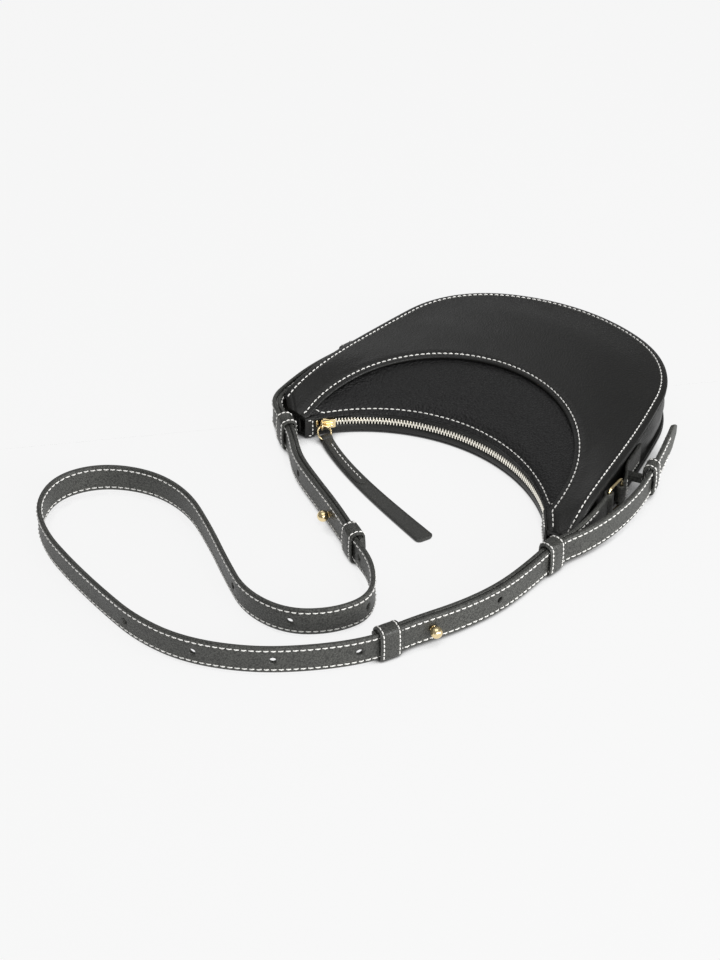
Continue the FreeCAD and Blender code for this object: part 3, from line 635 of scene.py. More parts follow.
# Back panel and gusset
BACK_TOP = 1.7
back_inner = mouth_line(LEFT_MOUTH_END, RIGHT_MOUTH_END, 0.0, 260)
back = Shape(panel_rows(back_inner, outline(0, 260), lambda x, y: BACK_TOP, 1.2, 10))
back.piece("back_panel_leather", SMOOTH, "bag", "smooth_leather", ["back_panel"], angle=60)

# Half of the gusset's section: inset beside the chapes, inset round the arc, and distance from the panel
GUSSET_SECTION = (
    (0.7, 0.7, 0.0), (0.2, 0.2, 0.7), (0.7, 0.7, 1.4), (2.6, 2.6, 1.5), (4.0, 2.6, 2.6), (4.4, 1.6, 5.5),
)
GUSSET_MIDDLE = (4.0, 0.7)
GUSSET_INSIDE = 5.8
GUSSET_EDGE = 1.0
GUSSET_COUNT = 300
FULL_FROM = 108.0
FULL_OVER = 26.0
gusset_insets = (0.2, 0.7, GUSSET_EDGE, 1.6, 2.6, 4.0, 4.4, GUSSET_INSIDE)
gusset_lines = {inset: outline(inset, GUSSET_COUNT, "wrap") for inset in gusset_insets}


def gusset_point(i, inset, full, share, z):
    """Point between the drawn-in line beside the chapes and the fuller line round the arc."""
    p = gusset_lines[inset][i].lerp(gusset_lines[full][i], share)
    return Vector((p.x, p.y, z))


gusset_rows = []
for i in range(GUSSET_COUNT):
    edge = gusset_lines[GUSSET_EDGE][i]
    top = front_z(edge.x, edge.y) - 2.6
    low = BACK_TOP
    share = min(max((edge.y - FULL_FROM) / FULL_OVER, 0.0), 1.0)
    share = share * share * (3 - 2 * share)
    row = [gusset_point(i, inset, full, share, low + z) for inset, full, z in GUSSET_SECTION]
    row.append(gusset_point(i, *GUSSET_MIDDLE, share, 0.5 * (low + top)))
    row += [gusset_point(i, inset, full, share, top - z) for inset, full, z in reversed(GUSSET_SECTION)]
    row += [gusset_point(i, GUSSET_INSIDE, GUSSET_INSIDE, share, z) for z in (top, low)]
    gusset_rows.append(row)
Shape(gusset_rows).piece("gusset_leather", SMOOTH, "bag", "smooth_leather", ["gusset"], angle=50)

rim_thread = Shape()
rim_run = lifted(outline(OUTER_SEAM, 500), lambda x, y: 0.5)[6:-6]
line_stitches(rim_thread, rim_run, lambda p: -UP, lift=-0.1)
rim_thread.piece("rim_stitching", THREAD, "bag")


# Zip mouth: sections are pairs of distance out from the mouth's arc, and height
def sector_rows(section_at, a0, a1, count):
    """Sections swept along the mouth's arc."""
    rows = []
    for k in range(count):
        angle = lerp(a0, a1, k / (count - 1))
        rows.append([mouth_point(angle, out, z) for out, z in section_at(angle)])
    return rows


def arc_degrees(length):
    """Angle that a length takes up on the mouth's arc."""
    return degrees(length / MOUTH_RADIUS)


def front_band(angle):
    p = mouth_point(angle)
    top = yoke_z(p.x, p.y) - 1.4
    low = ZIP_MIDDLE + 2.8
    middle = 0.5 * (low + top)
    return [(0.4, top), (0.1, middle), (-0.1, low + 0.3), (0.3, low - 0.1), (1.4, low), (1.6, top)]


def back_band(angle):
    return [(0.2, BACK_TOP), (-0.1, 2.6), (-0.1, 5.6), (0.3, 6.2), (1.4, 6.2), (1.6, BACK_TOP)]


ZIP_ROWS = 160
for name, section_at in (("front", front_band), ("back", back_band)):
    band = Shape(sector_rows(section_at, LEFT_MOUTH_END, RIGHT_MOUTH_END, ZIP_ROWS))
    band.piece(name + "_band", SMOOTH, "bag", "smooth_leather", [name + "_zip_band"], angle=50)

for name, z0, z1 in (("front", 10.4, 12.6), ("back", 5.4, 7.6)):
    section = [(1.2, z0), (0.9, 0.5 * (z0 + z1)), (1.2, z1), (1.8, z1), (1.8, z0)]
    tape = Shape(sector_rows(lambda angle: section, LEFT_MOUTH_END - 1, MOUTH_END + 1, ZIP_ROWS))
    tape.piece(name + "_tape", TAPE, "bag", "zip_tape", [name + "_zip_tape"], angle=50)

TAB_SPAN = arc_degrees(6.5)
STOP = MOUTH_END + TAB_SPAN + arc_degrees(2.0)
STEP = arc_degrees(ZIP_PITCH)
FIRST = STOP + 1.5
COUNT = int((REST_ANGLE + arc_degrees(5.0) - FIRST) / STEP)
# Loops of a tooth: reach from the zip's middle, share of the width, front and back out from the arc
TOOTH_LOOPS = (
    (2.5, 0.9, 0.25, 2.4),
    (2.1, 1.0, -0.25, 2.8),
    (0.4, 1.0, -0.3, 2.8),
    (-0.25, 0.9, -0.2, 2.7),
    (-0.6, 0.55, 0.2, 2.3),
)
TOOTH_HALF = arc_degrees(0.5)
TOOTH_CHAMFER = 0.25
STOP_SECTION = ((-0.3, 6.6), (-0.3, 11.4), (2.6, 11.4), (2.6, 6.6))
STOP_HALF = 0.4


def tooth_rows(angle, side):
    """One tooth: a bar that grips the tape and narrows to a rounded head across the middle."""
    rows = []
    for reach, wide, front, deep in TOOTH_LOOPS:
        z = ZIP_MIDDLE + side * reach
        w = TOOTH_HALF * wide
        corner = front + TOOTH_CHAMFER
        corners = ((-w, corner), (-0.6 * w, front), (0.6 * w, front), (w, corner), (w, deep), (-w, deep))
        rows.append([mouth_point(angle + turn, out, z) for turn, out in corners])
    return rows


for name, side, shift in (("front", 1, 0.0), ("back", -1, 0.5)):
    teeth = Shape()
    for i in range(COUNT):
        teeth.loft(tooth_rows(FIRST + (i + shift) * STEP, side))
    teeth.piece(name + "_teeth", PALE_GOLD, "bag", "gold_metal", [name + "_zip_teeth"], angle=30)

for name, angle in (("top_stops", 180 - STOP), ("bottom_stop", STOP)):
    stop = Shape(sector_rows(lambda turn: STOP_SECTION, angle - STOP_HALF, angle + STOP_HALF, 2))
    stop.piece(name, GOLD, "bag", "gold_metal", ["zip_" + name], bevel=0.3)

# Leather tabs over the ends of the zip
END_TAB_FACE = -1.7
END_TAB_SEAM = 0.75


def end_tab(angle):
    p = mouth_point(angle)
    top = front_z(p.x, p.y) - 0.8
    face = [(-1.5, 0.8), (END_TAB_FACE, 0.5 * top), (-1.5, top - 0.5)]
    return [(-0.4, 0.3), *face, (-0.6, top), (-0.1, top), (-0.1, 0.3)]


def to_middle(p):
    """Level direction from a point to the middle of the mouth's arc."""
    return Vector((-p.x, MOUTH_Y - p.y, 0)).normalized()


for name, a0, a1 in (
    ("right", RIGHT_MOUTH_END, MOUTH_END + TAB_SPAN),
    ("left", LEFT_MOUTH_END - TAB_SPAN, LEFT_MOUTH_END),
):
    tab = Shape(sector_rows(end_tab, a0, a1, 14))
    node_name = name + "_zip_end_tab"
    tab.piece(name + "_end_tab", SMOOTH, "bag", "smooth_leather", [node_name], angle=50, bevel=0.25)
    ends = [a0 + END_TAB_SEAM, a1 - END_TAB_SEAM]
    if name == "left":
        ends.reverse()
    outer, inner = ends
    low = 1.8
    top = front_z(*mouth_point(0.5 * (a0 + a1)).xy) - 2.3
    corners = ((outer, low), (inner, low), (inner, top), (outer, top))
    seam = [mouth_point(angle, END_TAB_FACE, z) for angle, z in corners]
    tab_thread = Shape()
    for p, q in zip(seam, seam[1:]):
        line_stitches(tab_thread, [p, q], to_middle, pitch=2.6, length=1.9, lift=0.1, skip=0.2)
    tab_thread.piece(name + "_end_tab_stitching", THREAD, "bag")

# Slider, bail, ring and pull tab, drawn at the top of the mouth and turned to where the slider rests
SLIDER_TURN = radians(REST_ANGLE - 90)
PLATE = MOUTH_Y + MOUTH_RADIUS - 0.3
PLATE_FRONT = PLATE - 1.6
BACK_PLATE = PLATE + 3.35
BACK_PLATE_END = PLATE + 4.7
SLIDER_OUTLINE = (
    (-5.0, -2.3), (-4.2, -3.4), (-2.6, -4.0), (-0.6, -3.7), (1.2, -3.1), (4.3, -3.1), (5.0, -2.6),
    (5.0, 2.6), (4.3, 3.1), (1.2, 3.1), (-0.6, 3.7), (-2.6, 4.0), (-4.2, 3.4), (-5.0, 2.3),
)
SLIDER_WEB = ((-1.5, -0.2), (1.5, -0.2), (1.5, 0.2), (-1.5, 0.2))
RIB_PLACES = (-1.15, 1.15)
RIB_FOOT = PLATE - 1.5
RIB_HEIGHTS = ((-3.4, 0.2), (-2.6, 0.9), (-1.2, 1.25), (0.8, 1.25), (2.4, 0.95), (3.6, 0.2))


def on_arc(p):
    """Turns a point drawn at the top of the mouth round to the slider's place."""
    c = cos(SLIDER_TURN)
    s = sin(SLIDER_TURN)
    x, y = p[0], p[1] - MOUTH_Y
    return Vector((x * c - y * s, MOUTH_Y + x * s + y * c, p[2]))


slider = Shape()
for section, y0, y1 in (
    (SLIDER_OUTLINE, PLATE_FRONT, PLATE),
    (SLIDER_OUTLINE, BACK_PLATE, BACK_PLATE_END),
    (SLIDER_WEB, PLATE, BACK_PLATE),
):
    slider.loft([[on_arc((x, y, ZIP_MIDDLE + z)) for x, z in section] for y in (y0, y1)])
for z in RIB_PLACES:
    rows = []
    for x, high in RIB_HEIGHTS:
        section = ((0, -0.55), (high, -0.5), (high + 0.2, 0), (high, 0.5), (0, 0.55))
        rows.append([on_arc((x, RIB_FOOT - out, ZIP_MIDDLE + z + w)) for out, w in section])
    slider.loft(rows)
slider.piece("slider", GOLD, "slider", "gold_metal", ["zip_slider"], bevel=0.3)


def tube(shape, points, radius, sides=10, ring=False):
    """Round wire through points."""
    points = [Vector(p) for p in points]
    rows = []
    up = None
    for i, p in enumerate(points):
        before = points[i - 1] if (ring or i) else points[0]
        after = points[(i + 1) % len(points)] if (ring or i < len(points) - 1) else points[-1]
        along = (after - before).normalized()
        if up is None:
            up = along.orthogonal()
        up = (up - along * up.dot(along)).normalized()
        rows.append(circle(p, up, along.cross(up), radius, sides))
    shape.loft(rows, ring=ring)


BAIL_X = -4.4
BAIL_HANG = 1.59
BAIL_WIRE = 0.62
BAIL_ARCH = (
    (1.4, 2.3), (3.0, 2.4), (4.4, 2.1), (5.1, 1.2), (5.3, 0),
    (5.1, -1.2), (4.4, -2.1), (3.0, -2.4), (1.4, -2.3),
)
bail = Shape()
tube(bail, [on_arc((BAIL_X, PLATE - out, ZIP_MIDDLE + z)) for out, z in BAIL_ARCH], BAIL_WIRE)
bail.piece("bail", GOLD, "slider", "gold_metal", ["slider_bail"], angle=60)

YAW = radians(19)
DROOP = radians(42)
PULL_R = 4.6
PULL_WIRE = 0.68
bail_point = Vector((BAIL_X, PLATE_FRONT - BAIL_HANG, ZIP_MIDDLE))
outward = Vector((sin(YAW), -cos(YAW), 0))
across = Vector((cos(YAW), sin(YAW), 0))
hang = outward * cos(DROOP) - UP * sin(DROOP)
ring = Shape()
ring_line = circle(bail_point + hang * PULL_R, across, hang, PULL_R, 40)
tube(ring, [on_arc(p) for p in ring_line], PULL_WIRE, ring=True)
ring.piece("pull_wire_ring", GOLD, "pull_ring", "gold_metal", ["pull_ring"], angle=60)

tab_point = bail_point + hang * (2 * PULL_R)
TAB_LENGTH = 121.0
TAB_BEND = 4.0
TAB_FALL = 34.0
TAB_CORNER = 2.6
TAB_HALVES = (4.1, 6.0)
TAB_LAYER = (0.0, 1.9)
FOLD_END = 54.0
FOLD_ROUND = 7.0
FOLD_INSET = 1.1
FOLD_LAYER = (1.7, 2.75)
EYE_SECTION = ((1.35, -3.2), (1.9, -3.6), (2.4, -3.2), (2.5, 0), (2.4, 3.2), (1.9, 3.6), (1.35, 3.2))
EYE_STRETCH = 1.7


def tab_spot(s, w, h):
    """Point on the pull tab: s along it, w across, h above its underside."""
    fall = max(1 - s / TAB_FALL, 0.0)
    z = 0.45 + (tab_point.z - 1.6) * fall * fall + h
    bend = TAB_BEND * sin(pi * min(max(s, 0.0) / TAB_LENGTH, 1.0) ** 0.75)
    p = tab_point + outward * s + across * (w - bend)
    return on_arc((p.x, p.y, z))


def tab_half(s):
    """Half the tab's width: it widens from the ring to a square end with round corners."""
    half = lerp(*TAB_HALVES, s / TAB_LENGTH)
    past = s - TAB_LENGTH + TAB_CORNER
    if past > 0:
        half -= TAB_CORNER - sqrt(max(TAB_CORNER * TAB_CORNER - past * past, 0.0))
    return half


def fold_half(s):
    """Half the width of the folded-over layer, which ends in a round tongue."""
    half = tab_half(s) - FOLD_INSET
    past = (s - FOLD_END + FOLD_ROUND) / FOLD_ROUND
    if past > 0:
        half *= sqrt(max(1 - past * past, 0.003))
    return half


def round_stations(end, r):
    """Stations along the tab that crowd towards a round end."""
    return [end - r + r * sin(radians(10 * k)) for k in range(10)]


def tab_body(shape, stations, half_at, layer):
    """One layer of the pull tab between the heights in layer, with soft edges."""
    low, high = layer
    rows = []
    for s in stations:
        w = half_at(s)
        r = min(0.5, 0.45 * (high - low), 0.5 * w)
        left = [(-w + r, low), (-w, low + r), (-w, high - r), (-w + r, high)]
        crown = [(-0.5 * w, high + 0.04), (0, high + 0.08), (0.5 * w, high + 0.04)]
        right = [(w - r, high), (w, high - r), (w, low + r), (w - r, low)]
        rows.append([tab_spot(s, x, h) for x, h in left + crown + right])
    shape.loft(rows)


pull = Shape()
tab_stations = [1.0 + 2.4 * k for k in range(49)] + round_stations(TAB_LENGTH, TAB_CORNER)
tab_body(pull, tab_stations, tab_half, TAB_LAYER)
fold_stations = [1.0 + 2.3 * k for k in range(20)] + round_stations(FOLD_END, FOLD_ROUND)
tab_body(pull, fold_stations, fold_half, FOLD_LAYER)
eye = []
eye_centre = tab_point - outward * 0.5
for k in range(19):
    a = radians(lerp(-75, 255, k / 18))
    row = []
    for r, w in EYE_SECTION:
        reach = r * sin(a) + EYE_STRETCH * max(sin(a), 0.0)
        row.append(on_arc(eye_centre - outward * reach + UP * (r * cos(a)) + across * w))
    eye.append(row)
pull.loft(eye)
pull.piece("pull_leather", TAB, "pull_tab", "strap_leather", ["pull_tab"], angle=50)
pull_thread = Shape()
seam = [tab_spot(lerp(7, FOLD_END - 4, k / 30), 0.6, 2.8) for k in range(31)]
line_stitches(pull_thread, seam, lambda p: UP, lift=0.1)
pull_thread.piece("pull_stitching", THREAD, "pull_tab")

# Strap: its route is a smooth spline on the points of the part's own route
STRAP_POINTS = [
    (109.5, 139), (116, 115), (122, 89), (127, 62), (126.5, 34), (121.5, 9),
    (112.5, -12), (111.5, -38), (108.5, -66.5), (99, -94.5), (85, -120.5), (74, -146.5),
    (52.5, -171), (23.5, -194), (-12, -208.5), (-46, -209.5), (-78.5, -201.5), (-111, -191.5),
    (-142, -179.5), (-166.5, -160.5), (-175, -133), (-160.5, -108), (-130, -95), (-97.5, -99),
    (-66, -118), (-37.5, -138), (-11, -155), (19.5, -156), (42, -139), (51.5, -115.5),
    (35, -91), (10.5, -77), (-17.5, -59), (-44.5, -44), (-69, -29.5), (-86, -11),
    (-101.5, -0.5), (-118.5, 12), (-120, 34), (-119.5, 57), (-114.5, 82), (-109, 108),
    (-102, 134),
]


def spline(points, steps=16):
    """Points read from a smooth spline that has the given points as its controls."""
    data = bpy.data.curves.new("route", "CURVE")
    data.dimensions = "3D"
    line = data.splines.new("NURBS")
    line.points.add(len(points) - 1)
    for control, p in zip(line.points, points):
        control.co = (*p, 1)
    line.order_u = 3
    line.use_endpoint_u = True
    line.resolution_u = steps
    holder = bpy.data.objects.new("route", data)
    mesh = bpy.data.meshes.new_from_object(holder)
    made = [v.co.copy() for v in mesh.vertices]
    bpy.data.meshes.remove(mesh)
    bpy.data.objects.remove(holder)
    bpy.data.curves.remove(data)
    return made


def strap_height(y):
    return STRAP_MID + max(y - SWING_Y, 0.0) * LIFT


ROUTE = spline([(x, y, strap_height(y)) for x, y in STRAP_POINTS])
DISTANCE = [0.0]
for before, here in zip(ROUTE, ROUTE[1:]):
    DISTANCE.append(DISTANCE[-1] + (here - before).length)
ROUTE_LENGTH = DISTANCE[-1]


def along_at(line, i):
    """Level direction of a line of points at point i."""
    d = line[min(i + 1, len(line) - 1)] - line[max(i - 1, 0)]
    d.z = 0
    return d.normalized()


def side_at(line, i):
    """Level direction to the left of a line of points at point i."""
    d = along_at(line, i)
    return Vector((-d.y, d.x, 0))


def nearest(x, y):
    """The route's point that lies nearest to x, y."""
    return min(range(len(ROUTE)), key=lambda i: (ROUTE[i].x - x) ** 2 + (ROUTE[i].y - y) ** 2)


def further(i, length):
    """The route's point that lies the given length past point i."""
    return min(range(len(ROUTE)), key=lambda k: abs(DISTANCE[k] - DISTANCE[i] - length))


def ribbon(shape, line, half_wide, half_thick, taper=None):
    """Upright strap with rounded edges along a line of points."""
    t = half_thick
    rows = []
    for i, p in enumerate(line):
        n = side_at(line, i)
        w = half_wide if taper is None else min(half_wide, taper(i))
        half = [
            (-t, -w + 0.8), (-t + 0.25, -w + 0.25), (-0.3 * t, -w), (0.3 * t, -w), (t - 0.25, -w + 0.25),
            (t, -w + 0.8), (t, -0.45 * w), (t, 0.0), (t, 0.45 * w),
        ]
        section = half + [(-a, -b) for a, b in half]
        rows.append([p + n * a + UP * b for a, b in section])
    shape.loft(rows)


STRAP_SEAMS = (-6.5, 6.8)
STRAP_STITCH = 0.82
STRAP_STITCH_LEAN = 0.06
STRAP_STITCH_LENGTHS = (0.95, 1.04)
STRAP_STITCH_LIFT = 0.15


def strap_stitches(shape, line, off, heights, pitch=4.1, start=0, end=None):
    """Rows of stitches on one face of a strap."""
    part = line[start:end]
    sign = 1 if off > 0 else -1
    for h in heights:
        face = [p + side_at(part, i) * off + UP * h for i, p in enumerate(part)]
        for p, along in stitch_spots(face, pitch):
            n = Vector((-along.y, along.x, 0)) * sign
            lean = UP * random.uniform(-STRAP_STITCH_LEAN, STRAP_STITCH_LEAN)
            length = STRAP_STITCH * pitch * random.uniform(*STRAP_STITCH_LENGTHS)
            shape.stitch(p + n * STRAP_STITCH_LIFT, along + lean, n, length)


def cut_holes(obj, spots, radius):
    """Punches round holes through a strap; spots are pairs of a point and the strap's side there."""
    tool = Shape()
    for p, n in spots:
        tool.loft([circle(p + n * d, UP, n.cross(UP), radius, 20) for d in (-4.0, 4.0)])
    cutter = tool.piece("cutter", STRAP)
    m = obj.modifiers.new("holes", "BOOLEAN")
    m.object = cutter
    m.solver = "EXACT"
    bpy.context.view_layer.objects.active = obj
    bpy.ops.object.modifier_apply(modifier=m.name)
    bpy.data.objects.remove(cutter)


HALF = STRAP_THICK / 2
HALF_WIDE = STRAP_WIDTH / 2
RIGHT_STUD = nearest(88.0, -110.0)
LEFT_STUD = nearest(-19.0, -56.0)
RIGHT_END = nearest(76.5, -136.5)
LEFT_END = nearest(8.0, -74.0)
RIGHT_HORN = nearest(112.0, -16.5)
LEFT_HORN = nearest(-95.0, -4.0)
HOLE_PITCH = 47.0
HOLE_RADIUS = 2.1
TAIL_POINT = 0.7 * STRAP_WIDTH
TAIL_TIP = 3.6
TAIL_GAIN = 7.4


def tail_taper(i):
    """Half the width of the strap's pointed tails."""
    return TAIL_TIP + TAIL_GAIN * min(DISTANCE[i], ROUTE_LENGTH - DISTANCE[i]) / TAIL_POINT


STRAP_NODES = ["long_strap", "right_strap_tail", "left_strap_tail"]
long_strap = Shape()
ribbon(long_strap, ROUTE, HALF_WIDE, HALF, tail_taper)
strap_piece = long_strap.piece("long_strap_leather", STRAP, None, "strap_leather", STRAP_NODES, angle=45)
holes = []
for k in range(-1, 5):
    for i in (further(RIGHT_STUD, k * HOLE_PITCH), further(LEFT_STUD, -k * HOLE_PITCH)):
        holes.append((ROUTE[i], side_at(ROUTE, i)))
cut_holes(strap_piece, holes, HOLE_RADIUS)
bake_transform(strap_piece)

strap_thread = Shape()
for off in (HALF, -HALF):
    strap_stitches(strap_thread, ROUTE, off, STRAP_SEAMS, start=7, end=-7)
strap_thread_piece = strap_thread.piece("long_strap_stitching", THREAD)
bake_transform(strap_thread_piece)


def inner_line(i0, i1):
    """Centre line of the inner strap layer beside the long strap."""
    step = 1 if i1 > i0 else -1
    return [ROUTE[i] - side_at(ROUTE, i) * LAYER for i in range(i0, i1 + step, step)]


def eye_rows(centre, way, a0, a1, section):
    """Leather folded round a side ring from angle a0 to a1; way is -1 for a mirrored fold."""
    rows = []
    for k in range(17):
        a = radians(lerp(a0, a1, k / 16))
        out = Vector((way * cos(a), sin(a), 0))
        rows.append([centre + out * r + UP * z for r, z in section])
    return rows


BRIDLE_EYE = ((1.4, -8.6), (2.4, -8.9), (3.2, -8.4), (3.3, 0), (3.2, 8.4), (2.4, 8.9), (1.4, 8.6))
BRIDLE_BEND_Y = 0.74 * RING_Y
END_PAST = 9.0


def bridle(name, sign, turn, end):
    """Inner strap layer from the side ring to just past the end keeper."""
    beside = inner_line(turn, end)
    ring_z = strap_height(RING_Y)
    root = [
        Vector((sign * RING_X, RING_Y - 2.6, ring_z)),
        Vector((sign * (RING_X + 1.7), BRIDLE_BEND_Y, strap_height(BRIDLE_BEND_Y))),
    ]
    line = spline([*root, *beside[::6], beside[-1]], 6)
    shape = Shape()
    ribbon(shape, line, HALF_WIDE, HALF)
    shape.loft(eye_rows(Vector((sign * RING_X, RING_Y, ring_z)), 1, -65, 245, BRIDLE_EYE))
    nodes = [name + "_bridle_root", name + "_bridle_end"]
    leather_piece = shape.piece(name + "_bridle", STRAP, None, "strap_leather", nodes, angle=45)
    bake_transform(leather_piece)
    threads = Shape()
    for off in (HALF, -HALF):
        strap_stitches(threads, line, off, STRAP_SEAMS, start=4, end=-3)
    thread_piece = threads.piece(name + "_bridle_stitching", THREAD)
    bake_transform(thread_piece)


bridle("right", 1, nearest(118.0, 2.0), further(RIGHT_END, END_PAST))
bridle("left", -1, nearest(-118.5, 18.0), further(LEFT_END, -END_PAST))

# Keepers: leather loops round the strap's layers
KEEPER_TURN = 1.5
KEEPER_BEHIND = 0.3
KEEPER_SLACK = 0.5
KEEPER_BELOW = 0.1
KEEPER_SEAM = 1.9
KEEPER_PITCH = 2.9
TONGUE = ((-2.5, -4.6), (2.5, -4.6), (2.5, -0.6), (-2.5, -0.6))


def keeper(name, i, long, depth, body, tongue=0.0, wall=1.5):
    """Soft loop from the strap's outer face to depth on its inner side; tongue reaches on to the bag."""
    p = ROUTE[i]
    n = side_at(ROUTE, i)
    d = along_at(ROUTE, i)
    puff = 0.3 * wall
    low = -depth - KEEPER_BEHIND + KEEPER_TURN
    high = HALF + KEEPER_SLACK - KEEPER_TURN
    bottom = -HALF_WIDE - KEEPER_BELOW + KEEPER_TURN
    top = HALF_WIDE + KEEPER_SLACK - KEEPER_TURN
    loop = []
    for a0, cx, cz, to_x, to_z in (
        (180, low, bottom, high, bottom),
        (270, high, bottom, high, top),
        (0, high, top, low, top),
        (90, low, top, low, bottom),
    ):
        for k in range(6):
            a = radians(a0 + 90 * k / 5)
            loop.append((cx, cz, cos(a), sin(a), 0.0))
        for t in (0.25, 0.5, 0.75):
            swell = puff * sin(pi * t)
            loop.append((lerp(cx, to_x, t), lerp(cz, to_z, t), cos(a), sin(a), swell))

    def spot(where, r, s):
        """Point r out from the loop and s along the strap; the underside is flatter than the rest."""
        cx, cz, ca, sa, out = where
        across_r = KEEPER_TURN + r + out
        down_r = KEEPER_TURN + (0.85 * min(r, 1.5) if sa < 0 else r + out)
        return p + n * (cx + across_r * ca) + UP * (cz + down_r * sa) + d * s

    half = 0.5 * long
    section = (
        (0.15, -half + 0.2), (0.7, -half), (wall - 0.35, -half), (wall, -half + 0.5), (wall + 0.12, 0),
        (wall, half - 0.5), (wall - 0.35, half), (0.7, half), (0.15, half - 0.2),
    )
    shape = Shape()
    shape.loft([[spot(where, r, s) for r, s in section] for where in loop], ring=True)
    if tongue:
        reach = -depth - KEEPER_BEHIND - 0.5 * wall
        shape.loft([[p + n * out + d * s + UP * z for s, z in TONGUE] for out in (reach, reach - tongue)])
    shape.piece(name + "_loop", STRAP, body, "strap_leather", [name + "_keeper"], angle=50)
    threads = Shape()
    for s in (-half + KEEPER_SEAM, half - KEEPER_SEAM):
        line = [spot(where, wall + 0.08, s) for where in loop]
        for c, along in stitch_spots(line + line[:1], KEEPER_PITCH):
            if c.z > p.z + bottom:
                threads.stitch(c, along, along.cross(d), 2.5, 0.85, 0.5)
    threads.piece(name + "_loop_stitching", THREAD, body)


DEEP = HALF + LAYER + 0.3
keeper("right_end", RIGHT_END, 14.0, DEEP, "strap")
keeper("left_end", LEFT_END, 14.0, DEEP, "strap")
keeper("right_horn", RIGHT_HORN, 13.0, DEEP, "bag")
keeper("left_horn", LEFT_HORN, 13.0, DEEP, "bag")


def flank_x(y, inset):
    """Where the body's right side lies at y, moved in by inset."""
    return SIDE[0] + sqrt((SIDE_R - inset) ** 2 - (y - SIDE[1]) ** 2)


for name, i, wall in (("right", nearest(122.0, 84.0), 1.5), ("left", nearest(-113.0, 90.0), 1.0)):
    gap = abs(ROUTE[i].x) - flank_x(ROUTE[i].y, 0)
    depth = min(gap - 2.8, HALF + 1.6)
    keeper(name + "_tail", i, 11.0, depth, "bag", gap + 1.6 - depth, wall)

# Ball studs, with their screws on the inner side
BALL = 3.6
BALL_AT = HALF + 0.5 + BALL
FACE = HALF + 0.05
INSIDE = -HALF - LAYER


def turned(p, n, profile):
    """Round shape about the line through p along n; the profile has pairs of height and radius."""
    return Shape([circle(p + n * h, UP, n.cross(UP), r, 28) for h, r in profile])


stud = [(INSIDE, 1.5), (FACE, 1.5), (FACE, 1.9), (HALF + 0.4, 1.9), (HALF + 0.6, 1.6)]
for k in range(13):
    a = radians(lerp(-64, 89, k / 12))
    stud.append((BALL_AT + BALL * sin(a), BALL * cos(a)))
screw = [(INSIDE, 3.0), (INSIDE - 0.6, 3.0), (INSIDE - 1.0, 2.5), (INSIDE - 1.05, 0.05)]
for name, i in (("right", RIGHT_STUD), ("left", LEFT_STUD)):
    p = ROUTE[i]
    n = side_at(ROUTE, i)
    ball_stud = turned(p, n, stud)
    ball_stud.piece(name + "_ball_stud", GOLD, "strap", "gold_metal", [name + "_stud"])
    screw_head = turned(p, n, screw)
    screw_head.piece(name + "_screw_head", GOLD, "strap", "gold_metal", [name + "_stud_screw"], angle=35)

# Side rings and the chapes that sew them to the gusset
RING_MID = 12.4
RING_HALF = 10.3
RING_ROUND = 3.0
RING_WIRE = 1.0
CHAPE_MID = 10.6
CHAPE_HALF = 7.2
CHAPE_THICK = 1.0
CHAPE_SEAM = 5.4
CHAPE_EYE = ((1.4, -6.8), (2.3, -7.1), (3.1, -6.6), (3.2, 0), (3.1, 6.6), (2.3, 7.1), (1.4, 6.8))


def ring_corners(x):
    """Upright rectangle with round corners."""
    middle_y = 0.5 * (RING_Y + RING_FAR)
    reach_y = 0.5 * (RING_FAR - RING_Y) - RING_ROUND
    reach_z = RING_HALF - RING_ROUND
    points = []
    for a0, way_y, way_z in ((180, -1, -1), (270, 1, -1), (0, 1, 1), (90, -1, 1)):
        for k in range(7):
            a = radians(a0 + 90 * k / 6)
            y = middle_y + way_y * reach_y + RING_ROUND * cos(a)
            points.append((x, y, RING_MID + way_z * reach_z + RING_ROUND * sin(a)))
    return points


chape_spots = [(RING_X, RING_FAR + 2.4), (flank_x(RING_FAR, -2.0), RING_FAR + 10)]
chape_spots += [(flank_x(y, 2.8), y) for y in (83, 97, 108)]
for name, sign in (("right", 1), ("left", -1)):
    wire = Shape()
    tube(wire, ring_corners(sign * RING_X), RING_WIRE, 12, ring=True)
    wire.piece(name + "_ring", GOLD, "bag", "gold_metal", [name + "_side_ring"], angle=60)

    chape = Shape()
    line = [Vector((sign * p.x, p.y, p.z)) for p in spline([(x, y, CHAPE_MID) for x, y in chape_spots])]
    ribbon(chape, line, CHAPE_HALF, CHAPE_THICK)
    chape.loft(eye_rows(Vector((sign * RING_X, RING_FAR, CHAPE_MID)), sign, -245, 65, CHAPE_EYE))
    chape.piece(name + "_chape_leather", STRAP, "bag", "strap_leather", [name + "_chape"], angle=45)
    threads = Shape()
    off = -sign * CHAPE_THICK
    strap_stitches(threads, line, off, (-CHAPE_SEAM,), 3.0, 3, -2)
    cross_at = min(range(len(line)), key=lambda k: abs(line[k].y - RING_FAR - 7.0))
    out = side_at(line, cross_at) * off
    for k in range(4):
        threads.stitch(line[cross_at] + out + UP * lerp(-3.0, CHAPE_SEAM, k / 3), UP, out, 2.2)
    threads.piece(name + "_chape_stitching", THREAD, "bag")

